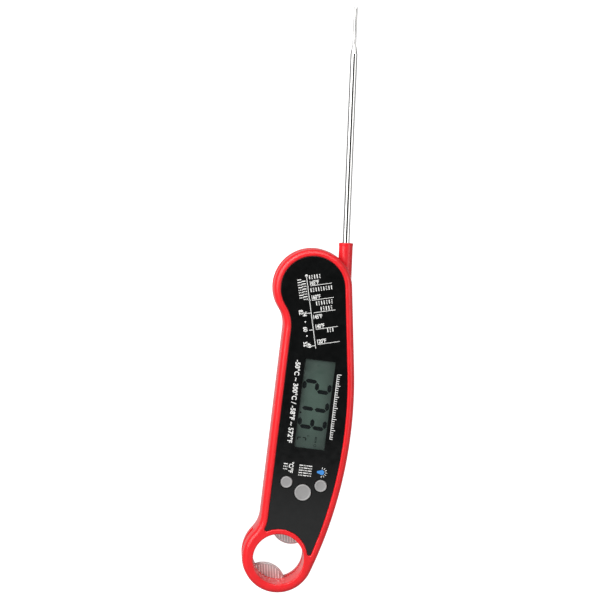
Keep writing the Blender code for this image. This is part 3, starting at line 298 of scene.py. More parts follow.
def clear(name, colour, alpha, roughness):
    """A clear pane, whose gloss stays while what is behind it shows through."""
    material = new_finish(name, colour, roughness)
    shader = material.node_tree.nodes["Principled BSDF"]
    shader.inputs["Alpha"].default_value = alpha
    vary(material, "Roughness", noise(material, 4 * MM, 4.0), roughness * 0.7, roughness * 1.3)
    roughen(material, noise(material, 12 * MM, 1.0), 0.01 * MM, 0.3)
    return material


RED = plastic("red_shell", (0.86, 0.014, 0.02), 0.22, height=0.0015 * MM, shine=0.3)
ARM_RED = plastic("red_arm", (0.82, 0.014, 0.022), 0.26, height=0.0015 * MM, shine=0.3)
BLACK = plastic("black_panel", (0.0035, 0.004, 0.004), 0.16, spread=0.1, height=0.001 * MM)
CLEAR = clear("clear_window", (0.01, 0.015, 0.013), 0.1, 0.1)
GREY_BUTTON = plastic("grey_button", (0.29, 0.285, 0.283), 0.45)
# Painted highlight: a lighter grey on the caps' rims, where they catch the light.
BUTTON_RIM_HIGHLIGHT = plastic("button_rim_highlight", (0.36, 0.355, 0.35), 0.38)
WHITE = plastic("white_plastic", (0.8, 0.8, 0.77), 0.5)
PRINT = plastic("white_print", (0.85, 0.85, 0.83), 0.5, spread=0.03, height=0.002 * MM)
BLUE_PRINT = plastic("blue_print", (0.02, 0.25, 0.7), 0.45, spread=0.05, height=0.002 * MM)
SEGMENT = plastic("lcd_segment", (0.002, 0.004, 0.005), 0.55, spread=0.12, height=0.001 * MM,
                  shine=0.1)
DARK_PLASTIC = plastic("black_plastic", (0.02, 0.02, 0.021), 0.4)
EPOXY = plastic("black_epoxy", (0.015, 0.015, 0.016), 0.3, grain=1.2 * MM, height=0.03 * MM)
NYLON = plastic("nylon", (0.72, 0.7, 0.62), 0.5)
CABLE = plastic("cable_sheath", (0.42, 0.05, 0.04), 0.45)
LED_RESIN = plastic("led_resin", (0.75, 0.7, 0.35), 0.2)
RUBBER = rubber("black_rubber", (0.022, 0.022, 0.023))
STEEL = metal("stainless_steel", (0.52, 0.515, 0.505), 0.11, stretch=(1.0, 0.04, 1.0),
              height=0.001 * MM)
BRUSHED = metal("brushed_steel", (0.6, 0.58, 0.57), 0.42, stretch=(1.0, 0.08, 1.0),
                turn=math.radians(-35), grain=0.35 * MM, height=0.02 * MM)
# Lighter, rougher steel for the opener's grip ridges.
PALE_RIDGE_STEEL = metal("pale_ridge_steel", (0.92, 0.9, 0.89), 0.6)
SCREW_STEEL = metal("screw_steel", (0.5, 0.49, 0.47), 0.3)
NICKEL = metal("nickel_plate", (0.62, 0.6, 0.55), 0.24)
CELL_CAN = metal("cell_can", (0.63, 0.62, 0.6), 0.22, stretch=(1.0, 0.2, 1.0))
MAGNET_PLATE = metal("magnet_plate", (0.56, 0.56, 0.55), 0.28)
SENSOR_GLASS = clear("sensor_glass", (0.3, 0.5, 0.42), 0.7, 0.08)


def display_face():
    """The liquid crystal's grey-green, with painted shade: darker towards its edges and its lower
    end, where the window's frame shades it.
    """
    material = plastic("display_glass", (0.055, 0.1, 0.078), 0.45, height=0.001 * MM)
    nodes, links = material.node_tree.nodes, material.node_tree.links
    half = (WINDOW_HIGH - WINDOW_LOW) / 2
    place = nodes.new("ShaderNodeMapping")
    place.inputs["Location"].default_value = (-LCD.x / half.x, -LCD.y / half.y, 0.0)
    place.inputs["Scale"].default_value = (1 / half.x, 1 / half.y, 0.0)
    painted_shade = nodes.new("ShaderNodeTexGradient")
    painted_shade.gradient_type = "QUADRATIC_SPHERE"
    shape = nodes.new("ShaderNodeMapping")
    shape.inputs["Scale"].default_value = (0.55, 0.5, 1.0)
    links.new(nodes["where"].outputs["Object"], place.inputs["Vector"])
    links.new(place.outputs["Vector"], shape.inputs["Vector"])
    links.new(shape.outputs["Vector"], painted_shade.inputs["Vector"])
    # Painted shade: the shaded colour at the display's edges, the lit colour in its middle.
    tint(material, painted_shade.outputs["Fac"], ((0.03, 0.05, 0.042), (0.062, 0.112, 0.087)), (0.0, 0.6))
    return material


def board_green():
    """Solder mask over copper: faint tracks show through as lighter lines."""
    material = plastic("board_green", (0.02, 0.16, 0.06), 0.4)
    nodes, links = material.node_tree.nodes, material.node_tree.links
    tracks = nodes.new("ShaderNodeTexBrick")
    tracks.inputs["Scale"].default_value = 1 / (6 * MM)
    tracks.inputs["Mortar Size"].default_value = 0.06
    tracks.inputs["Color1"].default_value = (0.018, 0.15, 0.055, 1.0)
    tracks.inputs["Color2"].default_value = (0.022, 0.18, 0.065, 1.0)
    tracks.inputs["Mortar"].default_value = (0.06, 0.3, 0.12, 1.0)
    links.new(nodes["where"].outputs["Object"], tracks.inputs["Vector"])
    links.new(tracks.outputs["Color"], nodes["Principled BSDF"].inputs["Base Color"])
    return material


DISPLAY = display_face()
BOARD = board_green()

SLOT_FINISH = {
    "red_shell": RED, "red_arm": ARM_RED, "black_panel": BLACK, "clear_window": CLEAR,
    "display_glass": DISPLAY, "white_plastic": WHITE, "led_resin": LED_RESIN,
    "black_rubber": RUBBER, "board_green": BOARD, "black_epoxy": EPOXY,
    "nickel_plate": NICKEL, "sensor_glass": SENSOR_GLASS, "black_plastic": DARK_PLASTIC,
    "grey_button": GREY_BUTTON, "cell_can": CELL_CAN, "magnet_plate": MAGNET_PLATE,
    "stainless_steel": STEEL, "screw_steel": SCREW_STEEL, "nylon": NYLON,
    "cable_sheath": CABLE,
}


# ---------------------------------------------------------------- mesh tools

def polar(centre, radius, angle):
    return Vector((centre[0] + radius * math.cos(angle), centre[1] + radius * math.sin(angle)))


def mesh_from(name, points, faces, merge=True):
    mesh = bpy.data.meshes.new(name)
    mesh.from_pydata(points, [], faces)
    work = bmesh.new()
    work.from_mesh(mesh)
    if merge:
        bmesh.ops.remove_doubles(work, verts=work.verts, dist=MERGE_DISTANCE)
    bmesh.ops.recalc_face_normals(work, faces=work.faces)
    work.to_mesh(mesh)
    work.free()
    return mesh


def loft_mesh(name, loops):
    """A closed body through loops of equal counts of points, each loop at its own level."""
    count = len(loops[0])
    points = [point for loop in loops for point in loop]
    faces = [[*range(count)][::-1], [*range(len(points) - count, len(points))]]
    for level in range(len(loops) - 1):
        start = level * count
        for i in range(count):
            j = (i + 1) % count
            faces.append((start + i, start + j, start + count + j, start + count + i))
    return mesh_from(name, points, faces)


def stack(name, outline, section):
    """A body whose outline grows as its section says, in (grow, level) pairs going up."""
    return loft_mesh(name, [[(*point, level) for point in outline(grow)]
                            for grow, level in section])


def prism(name, loop, low, high):
    return loft_mesh(name, [[(*point, low) for point in loop], [(*point, high) for point in loop]])


def turned(name, profile, centre=(0.0, 0.0), sides=96):
    """A closed profile of (radius, level) pairs turned about an upright axis."""
    count = len(profile)
    points, faces = [], []
    for i in range(sides):
        turn = 2 * math.pi * i / sides
        points += [(*polar(centre, radius, turn), level) for radius, level in profile]
        here, there = i * count, (i + 1) % sides * count
        for k in range(count):
            m = (k + 1) % count
            faces.append((here + k, here + m, there + m, there + k))
    return mesh_from(name, points, faces)


def box_mesh(name, low, high):
    (x0, y0, z0), (x1, y1, z1) = low, high
    return prism(name, [(x0, y0), (x1, y0), (x1, y1), (x0, y1)], z0, z1)


def add_object(name, mesh, material=None):
    piece = bpy.data.objects.new(name, mesh)
    bpy.context.scene.collection.objects.link(piece)
    if material:
        mesh.materials.clear()
        mesh.materials.append(material)
    return piece


def combined(name, start, steps):
    """The mesh that comes of cutting from and adding to a start mesh, in order."""
    body = add_object(name, start)
    tools = []
    for operation, mesh in steps:
        tool = add_object(name + "_tool", mesh)
        tools.append(tool)
        boolean = body.modifiers.new(operation, "BOOLEAN")
        boolean.operation = operation
        boolean.object = tool
    graph = bpy.context.evaluated_depsgraph_get()
    mesh = bpy.data.meshes.new_from_object(body.evaluated_get(graph))
    for used in (body, *tools):
        bpy.data.objects.remove(used)
    mesh.name = name
    return mesh


def cuts(*meshes):
    """Steps that take each mesh away."""
    return [("DIFFERENCE", mesh) for mesh in meshes]


def cut(name, start, *meshes):
    return combined(name, start, cuts(*meshes))


def turn_and_place(mesh, angle, place, level=0.0, tilt=0.0):
    """Tilts a mesh about x, then turns it about z, then moves it."""
    mesh.transform(Matrix.Translation((place[0], place[1], level))
                   @ Matrix.Rotation(angle, 4, "Z") @ Matrix.Rotation(tilt, 4, "X"))
    return mesh


def piece(name, mesh, material, body, slot, nodes=(), smooth=math.radians(35)):
    """A finished piece: it rides on its body and stands for the named nodes."""
    made = add_object(name, mesh, material)
    mesh.shade_smooth()
    mesh.set_sharp_from_angle(angle=smooth)
    normals = made.modifiers.new("even shading", "WEIGHTED_NORMAL")
    normals.keep_sharp = True
    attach(made, body)
    if nodes:
        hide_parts(*nodes)
    return made


# ---------------------------------------------------------------- outlines

def heading(vector):
    return math.atan2(vector.y, vector.x)


def arcs_loop(arcs, grow=0.0):
    """Points round a chain of arcs, moved outwards by grow. Every grow has the same count.

    An arc is (centre, radius, bulge, start, end), with bulge -1 where the outline is hollow.
    """
    points = []
    for arc, following in zip(arcs, arcs[1:] + arcs[:1]):
        centre, radius, bulge, start, end = arc
        span = abs(end - start)
        count = max(2, math.ceil(span / ARC_STEP), math.ceil(span * radius / ARC_LENGTH))
        points += [polar(centre, radius + bulge * grow, start + (end - start) * i / count)
                   for i in range(count)]
        next_start = polar(following[0], following[1], following[3])
        if (next_start - polar(centre, radius, end)).length > GAP:
            points.append(polar(centre, radius + bulge * grow, end))
    return points


def fillet_centre(corner, along, outward, disc_centre, disc_radius, side):
    """Centre of the neck fillet that touches the straight side and a disc."""
    start = corner + outward * NECK_FILLET - disc_centre
    reach = disc_radius + NECK_FILLET
    middle = start.dot(along)
    root = math.sqrt(middle * middle - start.dot(start) + reach * reach)
    return corner + outward * NECK_FILLET + along * (-middle + side * root)


BELLY_RADIUS = ((BELLY_REACH ** 2 + BELLY_HEIGHT ** 2 - RING_RADIUS ** 2)
                / (2 * (BELLY_REACH - RING_RADIUS)))
BELLY = RING + Vector((BELLY_REACH - BELLY_RADIUS, BELLY_HEIGHT))
TO_HEAD = PIVOT - BELLY
SHOULDER = heading(TO_HEAD) - math.acos((BELLY_RADIUS - HEAD_RADIUS) / TO_HEAD.length)
SPINE_LOW = RING - Vector((SPINE_AT_RING, 0.0))
SPINE_HIGH = PIVOT - Vector((SPINE_AT_HEAD, 0.0))
ALONG = (SPINE_HIGH - SPINE_LOW).normalized()
OUTWARD = Vector((-ALONG.y, ALONG.x))
INWARD = heading(-OUTWARD)
NECK = fillet_centre(SPINE_LOW, ALONG, OUTWARD, PIVOT, HEAD_RADIUS, -1)
HEEL = fillet_centre(SPINE_LOW, ALONG, OUTWARD, RING, RING_RADIUS, 1)

GRIP_ARCS = [
    (BELLY, BELLY_RADIUS, 1, heading(RING - BELLY), SHOULDER),
    (PIVOT, HEAD_RADIUS, 1, SHOULDER, heading(NECK - PIVOT) % (2 * math.pi)),
    (NECK, NECK_FILLET, -1, heading(PIVOT - NECK), INWARD),
    (HEEL, NECK_FILLET, -1, INWARD, heading(RING - HEEL)),
    (RING, RING_RADIUS, 1, heading(HEEL - RING), heading(RING - BELLY) + 2 * math.pi),
]


def grip(grow=0.0):
    return arcs_loop(GRIP_ARCS, grow)


def touching(first, first_reach, second, second_reach, side):
    """The point at given distances from two centres, left (1) or right (-1) of their line."""
    across = second - first
    along = (first_reach ** 2 - second_reach ** 2 + across.length_squared) / (2 * across.length)
    off = math.sqrt(first_reach ** 2 - along ** 2)
    unit = across.normalized()
    return first + unit * along + Vector((-unit.y, unit.x)) * off * side


def panel_arcs():
    """The panel's outline: the grip's, moved in, up to a collar round the ring."""
    belly = BELLY_RADIUS - PANEL_INSET
    heel = NECK_FILLET + PANEL_INSET
    right = touching(RING, PANEL_RING_RADIUS + PANEL_CORNER, BELLY, belly - PANEL_CORNER, -1)
    left = touching(RING, PANEL_RING_RADIUS + PANEL_CORNER, HEEL, heel + PANEL_CORNER, -1)
    left_end = heading(RING - left) % (2 * math.pi)
    return [
        (right, PANEL_CORNER, 1, heading(RING - right), heading(right - BELLY)),
        (BELLY, belly, 1, heading(right - BELLY), SHOULDER),
        (PIVOT, HEAD_RADIUS - PANEL_INSET, 1, SHOULDER, heading(NECK - PIVOT) % (2 * math.pi)),
        (NECK, heel, -1, heading(PIVOT - NECK), INWARD),
        (HEEL, heel, -1, INWARD, heading(left - HEEL)),
        (left, PANEL_CORNER, 1, heading(HEEL - left) % (2 * math.pi), left_end),
        (RING, PANEL_RING_RADIUS, -1, heading(left - RING), heading(right - RING)),
    ]


PANEL_ARCS = panel_arcs()


def panel(grow=0.0):
    return arcs_loop(PANEL_ARCS, grow)


def rounded_rectangle(centre, half, corner, steps=6):
    """Anticlockwise from the lower right corner."""
    points = []
    for quarter, (sx, sy) in enumerate(((1, -1), (1, 1), (-1, 1), (-1, -1))):
        middle = Vector((centre[0] + sx * (half[0] - corner), centre[1] + sy * (half[1] - corner)))
        for i in range(steps + 1):
            points.append(polar(middle, corner, (quarter - 1 + i / steps) * math.pi / 2))
    return points


def humped_arcs(centre, radius, humps):
    """A circle with humps that reach inwards: (direction, half width, reach), in order."""
    arcs = []
    start = 0.0
    for direction, half_width, reach in humps:
        spread = math.asin(half_width / radius)
        arcs.append((centre, radius, 1, start, direction - spread))
        height = radius * math.cos(spread) - (radius - reach)
        hump = (half_width ** 2 + height ** 2) / (2 * height)
        opening = math.atan2(half_width, hump - height)
        first = direction - math.pi + opening
        middle = polar(centre, radius - reach + hump, direction)
        arcs.append((middle, hump, -1, first, first - 2 * opening))
        start = direction + spread
    arcs.append((centre, radius, 1, start, 2 * math.pi))
    return arcs


# ---------------------------------------------------------------- shells

def rounding(grow, level, reach, rise, steps=6):
    """A quarter-round section that leans outwards by reach as it goes up by rise."""
    return [(grow + reach * (1 - math.cos(turn)), level + rise * math.sin(turn))
            for turn in (math.pi / 2 * i / steps for i in range(1, steps + 1))]


def front_section():
    shoulder = FRONT - BEAD_DROP
    return ([(-GROOVE, PARTING + GAP / 10), (0.0, PARTING + 2 * GROOVE), (-DRAFT, shoulder)]
            + rounding(-DRAFT, shoulder, -BEAD_REACH, BEAD_DROP, BEAD_STEPS))


def back_section():
    """The same from the back, going up to the parting line."""
    down = rounding(0.0, 0.0, -BACK_REACH, BACK_DROP, BEAD_STEPS)
    up = [(grow, BACK_DROP - level) for grow, level in reversed(down)]
    return up + [(0.0, BACK_DROP), (0.0, PARTING - 2 * GROOVE), (-GROOVE, PARTING - GAP / 10)]


def disc_mesh(centre, radius, low, high, sides=64):
    return turned("disc", [(0.0, high), (radius, high), (radius, low), (0.0, low)], centre, sides)


def cavity_mesh(grow, low, high):
    """The space inside the shells between head and ring, with its walls moved by grow."""
    keep_head = disc_mesh(PIVOT, HEAD_RADIUS + WALL - grow, low - WALL, high + WALL)
    keep_ring = disc_mesh(RING, RING_RADIUS + WALL - grow, low - WALL, high + WALL)
    return cut("cavity", prism("space", grip(grow - WALL), low, high), keep_head, keep_ring)


def gasket_seat():
    low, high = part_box("shell_gasket")
    return cavity_mesh(GASKET_OUT + GAP, low.z - GAP, high.z + GAP)


def arc(centre, radius, start, end):
    count = math.ceil(abs(end - start) / ARC_STEP)
    return [polar(centre, radius, start + (end - start) * i / count) for i in range(count + 1)]


def arm_slot():
    """Where the head is open at its edge for the probe's arm, from its stop to the fold."""
    start = PROBE_LEAN - STOP_ANGLE
    inner = PROBE_OFFSET - COLLAR_RADIUS - COLLAR_LIP - RUNNING
    below = -COLLAR_END - COLLAR_RADIUS
    corners = [PIVOT + Vector((-SLOT_REACH, below)), PIVOT + Vector((-inner, below))]
    loop = arc(PIVOT, SLOT_REACH, start, math.pi) + corners + arc(PIVOT, inner, math.pi, start)
    return prism("arm_slot", loop, SLOT_LOW, SLOT_HIGH)


def hub_space():
    return disc_mesh(PIVOT, HUB_RADIUS + RUNNING, SLOT_LOW, SLOT_HIGH, 96)


def tip_slot():
    half = TUBE_RADIUS + RUNNING
    right = RING.x - PROBE_OFFSET + half
    return box_mesh("tip_slot",
                    (right - RING_RADIUS, PIVOT.y - PROBE_REACH - TUBE_RADIUS,
                     PROBE_LEVEL - half),
                    (right, RING.y + RING_RADIUS, PROBE_LEVEL + half))


def box_round(node, spare):
    low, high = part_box(node)
    room = Vector((spare, spare, spare))
    return box_mesh(node + "_room", low - room, high + room)


def centre_of(node):
    low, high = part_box(node)
    return (low.xy + high.xy) / 2


def reach_of(node):
    low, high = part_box(node)
    return (high.x - low.x) / 2


def shank_of(node):
    return PIVOT_SHANK if node == "pivot_screw" else SCREW_SHANK


def hole_mesh(low, high, low_lip, high_lip):
    """The ring's hole, opening out in a rounding at each end."""
    top = high - high_lip
    foot = low + low_lip
    profile = [(0.0, high + WALL), (HOLE_RADIUS + high_lip, high + WALL)]
    profile += rounding(HOLE_RADIUS, top, high_lip, high_lip)[::-1]
    profile += [(HOLE_RADIUS, top), (HOLE_RADIUS, foot)]
    profile += rounding(HOLE_RADIUS, foot, low_lip, -low_lip)
    profile += [(HOLE_RADIUS + low_lip, low - WALL), (0.0, low - WALL)]
    return turned("hole", profile, HOLE, 128)


def recess_mesh():
    """The seat of the panel, with the bezel's inner rounding above it."""
    lip = FRONT - LIP_ROUND
    section = [(PANEL_GAP, PLATE_TOP), (PANEL_GAP, lip)]
    section += rounding(PANEL_GAP, lip, LIP_ROUND, LIP_ROUND)
    section.append((section[-1][0], FRONT + WALL))
    return stack("recess", panel, section)


def flared_hole(name, centre, radius, depth, flare, sides):
    """A round hole in the back's face, wider at its mouth by the flare."""
    mouth = radius + flare
    profile = [(0.0, depth), (radius, depth), (radius, flare), (mouth, 0.0), (mouth, -WALL),
               (0.0, -WALL)]
    return turned(name, profile, centre, sides)


def front_shell():
    low = PARTING + GAP / 10
    rim = OPENER_HIGH.z + GAP
    spigot = [(SPIGOT_RADIUS, low + WALL), (SPIGOT_RADIUS, rim), (HOLE_RADIUS, rim),
              (HOLE_RADIUS, low + WALL)]
    steps = cuts(recess_mesh(), cavity_mesh(0.0, low - WALL, PLATE_BOTTOM), gasket_seat())
    steps.append(("UNION", turned("spigot", spigot, HOLE, 128)))
    steps += cuts(hole_mesh(OPENER_HIGH.z, FRONT, 0.0, LIP_ROUND), box_round("lcd_glass", GAP))
    for label in BUTTONS:
        node = "button_seal_" + label
        steps += cuts(disc_mesh(centre_of(node), reach_of(node) + GAP, PLATE_BOTTOM - WALL,
                                FRONT))
    for node in SCREWS:
        shank = shank_of(node) + GAP
        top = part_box(node)[1].z + GAP
        if node != "pivot_screw":
            steps.append(("UNION", disc_mesh(centre_of(node), shank + BOSS_WALL, low,
                                             PLATE_BOTTOM + FACE_PLATE / 2, 32)))
        steps += cuts(disc_mesh(centre_of(node), shank, low - WALL, top, 24))
    steps += cuts(hub_space(), arm_slot(), tip_slot())
    mesh = combined("shell_front", stack("shell_front", grip, front_section()), steps)
    piece("shell_front", mesh, RED, "handle", "red_shell", ["front_shell"])


def back_shell():
    high = PARTING - GAP / 10
    door_hole = DOOR_RADIUS + GAP / 2
    well = DOOR_RADIUS + DOOR_WELL
    well_top = CELL_HIGH.z
    opener_seat = disc_mesh(HOLE, OPENER_GROOVE, OPENER_LOW.z - GAP, high + WALL, 128)
    steps = cuts(cavity_mesh(0.0, WALL, high + WALL), gasket_seat(), opener_seat,
                 hole_mesh(0.0, high, LIP_ROUND, 0.0))
    steps.append(("UNION", disc_mesh(CELL, well + DOOR_WELL_WALL, WALL / 2, well_top)))
    steps += cuts(disc_mesh(CELL, well, DOOR_RECESS + DOOR_THICKNESS, well_top + WALL),
                  flared_hole("door_hole", CELL, door_hole, WALL * 2, GAP * 1.5, 128))
    seat = MAGNET_HIGH.z + GAP
    magnet_radius = reach_of("magnet") + GAP / 2
    steps.append(("UNION", disc_mesh(MAGNET, magnet_radius + BOSS_WALL, WALL / 2,
                                     seat + BOSS_WALL)))
    steps += cuts(disc_mesh(MAGNET, magnet_radius, -WALL, seat, 96))
    for node in SCREWS:
        centre, head = centre_of(node), reach_of(node) + SCREW_WELL
        if node != "pivot_screw":
            steps.append(("UNION", disc_mesh(centre, head + BOSS_WALL / 2, WALL / 2, high, 32)))
        steps += cuts(disc_mesh(centre, shank_of(node) + GAP, -WALL, high + WALL, 24),
                      flared_hole("screw_well", centre, head, WELL_DEPTH, GAP, 48))
    steps += cuts(hub_space(), arm_slot(), tip_slot())
    steps.append(("UNION", disc_mesh(PIVOT, POST_RADIUS, SLOT_LOW - WALL, SLOT_HIGH - GAP, 48)))
    steps += cuts(disc_mesh(PIVOT, PIVOT_SHANK + GAP, WALL, SLOT_HIGH + WALL, 32),
                  box_round("board_cable", GAP))
    mesh = combined("shell_back", stack("shell_back", grip, back_section()), steps)
    piece("shell_back", mesh, RED, "handle", "red_shell", ["back_shell"])


# ---------------------------------------------------------------- front panel and display

PRINT_RISE = 0.02 * MM
STROKE = 0.26 * MM


def face_panel():
    edge = 0.12 * MM
    section = [(0.0, PANEL_BOTTOM), (0.0, PANEL_TOP - edge), (-edge / 3, PANEL_TOP - edge / 3),
               (-edge, PANEL_TOP)]
    half = (WINDOW_HIGH.xy - WINDOW_LOW.xy) / 2 + Vector((GAP / 4, GAP / 4))
    holes = [prism("window_hole", rounded_rectangle(LCD, half, 0.5 * MM), PANEL_BOTTOM - WALL,
                   PANEL_TOP + WALL)]
    for label in BUTTONS:
        cap = reach_of("button_" + label) - CAP_FLANGE
        holes.append(disc_mesh(centre_of("button_" + label), cap + BUTTON_SHADOW,
                               PANEL_BOTTOM - WALL, PANEL_TOP + WALL, 72))
    mesh = cut("panel", stack("panel", panel, section), *holes)
    piece("panel", mesh, BLACK, "handle", "black_panel", ["face_panel"])


def window():
    half = (WINDOW_HIGH.xy - WINDOW_LOW.xy) / 2
    edge = 0.08 * MM
    loops = [[(*point, level) for point in
              rounded_rectangle(LCD, half - Vector((inset, inset)), 0.5 * MM - inset)]
             for inset, level in ((0.0, PANEL_BOTTOM), (0.0, PANEL_TOP - edge), (edge, PANEL_TOP))]
    piece("window", loft_mesh("window", loops), CLEAR, "handle", "clear_window",
          ["display_window"])


def lcd_point(along, up):
    """A place on the display for somebody who reads it: along its line of digits, and up."""
    return LCD + Vector((up, -along))


def bar(start, end, width, lean=0.0):
    """A display segment's outline, with mitred ends."""
    start, end = Vector(start), Vector(end)
    unit = (end - start).normalized()
    side = Vector((-unit.y, unit.x)) * width / 2
    tip = unit * width / 2
    loop = [start, start + tip - side, end - tip - side, end, end - tip + side, start + tip + side]
    return [(point.x + lean * point.y, point.y) for point in loop]


DIGIT_WIDTH = 4.35 * MM
DIGIT_HEIGHT = 12.0 * MM
DIGIT_PITCH = 8.72 * MM
DIGIT_LEAN = 0.045
DIGIT_STROKE = 1.9 * MM
FIRST_DIGIT = -8.42 * MM
SEGMENTS = {                      # corners of a digit: across and up, in halves
    "a": ((-1, 2), (1, 2)), "b": ((1, 2), (1, 0)), "c": ((1, 0), (1, -2)),
    "d": ((-1, -2), (1, -2)), "e": ((-1, 0), (-1, -2)), "f": ((-1, 2), (-1, 0)),
    "g": ((-1, 0), (1, 0)),
}
DIGIT_SEGMENTS = {"2": "abged", "3": "abgcd", "7": "abc"}


def shapes_mesh(name, loops, low, rise):
    """Flat shapes side by side, each a thin closed body."""
    points, faces = [], []
    for loop in loops:
        start = len(points)
        count = len(loop)
        points += [(*point, low) for point in loop] + [(*point, low + rise) for point in loop]
        faces.append([start + i for i in range(count)][::-1])
        faces.append([start + count + i for i in range(count)])
        for i in range(count):
            j = (i + 1) % count
            faces.append((start + i, start + j, start + count + j, start + count + i))
    return mesh_from(name, points, faces, merge=False)


def digit(character, middle):
    """A digit's segments in reading coordinates, centred on (middle, 0)."""
    loops = []
    for letter in DIGIT_SEGMENTS[character]:
        (x0, y0), (x1, y1) = SEGMENTS[letter]
        start = Vector((x0 * DIGIT_WIDTH / 2, y0 * DIGIT_HEIGHT / 4))
        end = Vector((x1 * DIGIT_WIDTH / 2, y1 * DIGIT_HEIGHT / 4))
        away = (end - start).normalized() * DIGIT_STROKE * 0.12
        loop = bar(start + away, end - away, DIGIT_STROKE, DIGIT_LEAN)
        loops.append([(x + middle, y) for x, y in loop])
    return loops


def ring_bars(middle, radius, width, sides=10):
    """A small ring, as short bars, for a degree mark."""
    corners = [polar(middle, radius, 2 * math.pi * i / sides) for i in range(sides)]
    return [bar(a, b, width) for a, b in zip(corners, corners[1:] + corners[:1])]


def display():
    face = box_mesh("lcd", LCD_LOW, LCD_HIGH)
    piece("lcd", face, DISPLAY, "handle", "display_glass", ["lcd_glass"])
    loops = []
    for index, character in enumerate("273"):
        loops += digit(character, FIRST_DIGIT + index * DIGIT_PITCH)
    point_at = Vector((4.6 * MM, -6.2 * MM))
    loops.append([polar(point_at, 0.5 * MM, i * math.pi / 4) for i in range(8)])
    unit = Vector((16.6 * MM, -4.0 * MM))
    small = 0.5 * MM
    loops += ring_bars(unit + Vector((-1.2 * MM, 2.9 * MM)), 0.45 * MM, 0.22 * MM)
    for x0, y0, x1, y1 in ((-0.2, -2.0, 1.2, -2.0), (-0.2, -2.0, -0.2, -0.4),
                           (-0.2, 0.3, -0.2, 1.9), (-0.2, 1.9, 1.2, 1.9)):
        loops.append(bar(unit + Vector((x0, y0)) * MM, unit + Vector((x1, y1)) * MM, small))
    for step in range(5):
        mark = Vector((15.6 * MM + step * 0.62 * MM, 2.1 * MM))
        loops.append(bar(mark, mark + Vector((0.0, 1.1 * MM)), 0.34 * MM))
    loops += ring_bars(Vector((19.6 * MM, 2.6 * MM)), 0.6 * MM, 0.3 * MM)
    placed = [[lcd_point(x, y) for x, y in loop] for loop in loops]
    mesh = shapes_mesh("segments", placed, LCD_HIGH.z, PRINT_RISE)
    piece("lcd_segments", mesh, SEGMENT, "handle", "display_glass")


# ---------------------------------------------------------------- print on the panel

def front_point(x, y):
    """A place on the front from the ring's centre, in millimetres."""
    return RING + Vector((x, y)) * MM


def line(start, end, width=STROKE):
    start, end = Vector(start), Vector(end)
    side = (end - start).normalized() * width / 2
    side = Vector((-side.y, side.x))
    return [start - side, end - side, end + side, start + side]


def text_mesh(name, text, height, place, angle=0.0, spacing=1.0, squeeze=1.0):
    """Numerals of a cap height, from their lower left corner, turned anticlockwise."""
    curve = bpy.data.curves.new(name, "FONT")
    curve.body = text
    curve.size = height / 0.7
    curve.space_character = spacing
    curve.extrude = PRINT_RISE / 2
    curve.offset = height * 0.035
    curve.resolution_u = 3
    letters = bpy.data.objects.new(name, curve)
    bpy.context.scene.collection.objects.link(letters)
    graph = bpy.context.evaluated_depsgraph_get()
    mesh = bpy.data.meshes.new_from_object(letters.evaluated_get(graph))
    bpy.data.objects.remove(letters)
    bpy.data.curves.remove(curve)
    mesh.transform(Matrix.Diagonal((squeeze, 1.0, 1.0, 1.0)))
    return turn_and_place(mesh, angle, place, PANEL_TOP + PRINT_RISE / 2)


def dashes(place, length, height, angle, pattern="1011010110"):
    """A row of upright and level strokes that stands where a word is printed."""
    along = Vector((math.cos(angle), math.sin(angle)))
    up = Vector((-along.y, along.x)) * height
    pitch = 0.66 * height
    loops = []
    for i in range(max(1, int(length / pitch))):
        foot = place + along * (i * pitch + pitch / 4)
        if pattern[i % len(pattern)] == "1":
            loops.append(line(foot, foot + up, height * 0.24))
        else:
            for level in (0.1, 0.5, 0.9):
                start = foot + up * level - along * pitch * 0.22
                loops.append(line(start, start + along * pitch * 0.44, height * 0.2))
    return loops


def join_meshes(name, meshes):
    work = bmesh.new()
    for mesh in meshes:
        work.from_mesh(mesh)
    joined = bpy.data.meshes.new(name)
    work.to_mesh(joined)
    work.free()
    return joined


def print_on_panel(name, loops, texts, material=None):
    meshes = list(texts)
    if loops:
        meshes.append(shapes_mesh(name, loops, PANEL_TOP, PRINT_RISE))
    piece(name, join_meshes(name, meshes), material or PRINT, "handle", "white_plastic")


SCALE_TOP = (-4.02, 135.26)       # ends of the guide's scale line
SCALE_FOOT = (4.85, 101.7)
GUIDE_TURN = math.radians(15.2)   # how far the guide's lines rise to the right
GUIDE_ROWS = (                    # foot of each row's rule, its length and temperature
    (-1.52, 130.73, 10.1, "165°F"), (0.15, 124.09, 10.3, "160°F"), (1.76, 118.35, 10.3, ""),
    (3.77, 110.68, 10.3, "140°F"), (5.50, 103.69, 10.5, "120°F"),
)
SCALE_DOTS = ((0.0, 0.62), (0.152, 0.42), (0.338, 0.42), (0.635, 0.3), (0.85, 0.3))
SCALE_TICKS = (0.51, 0.742, 0.96)


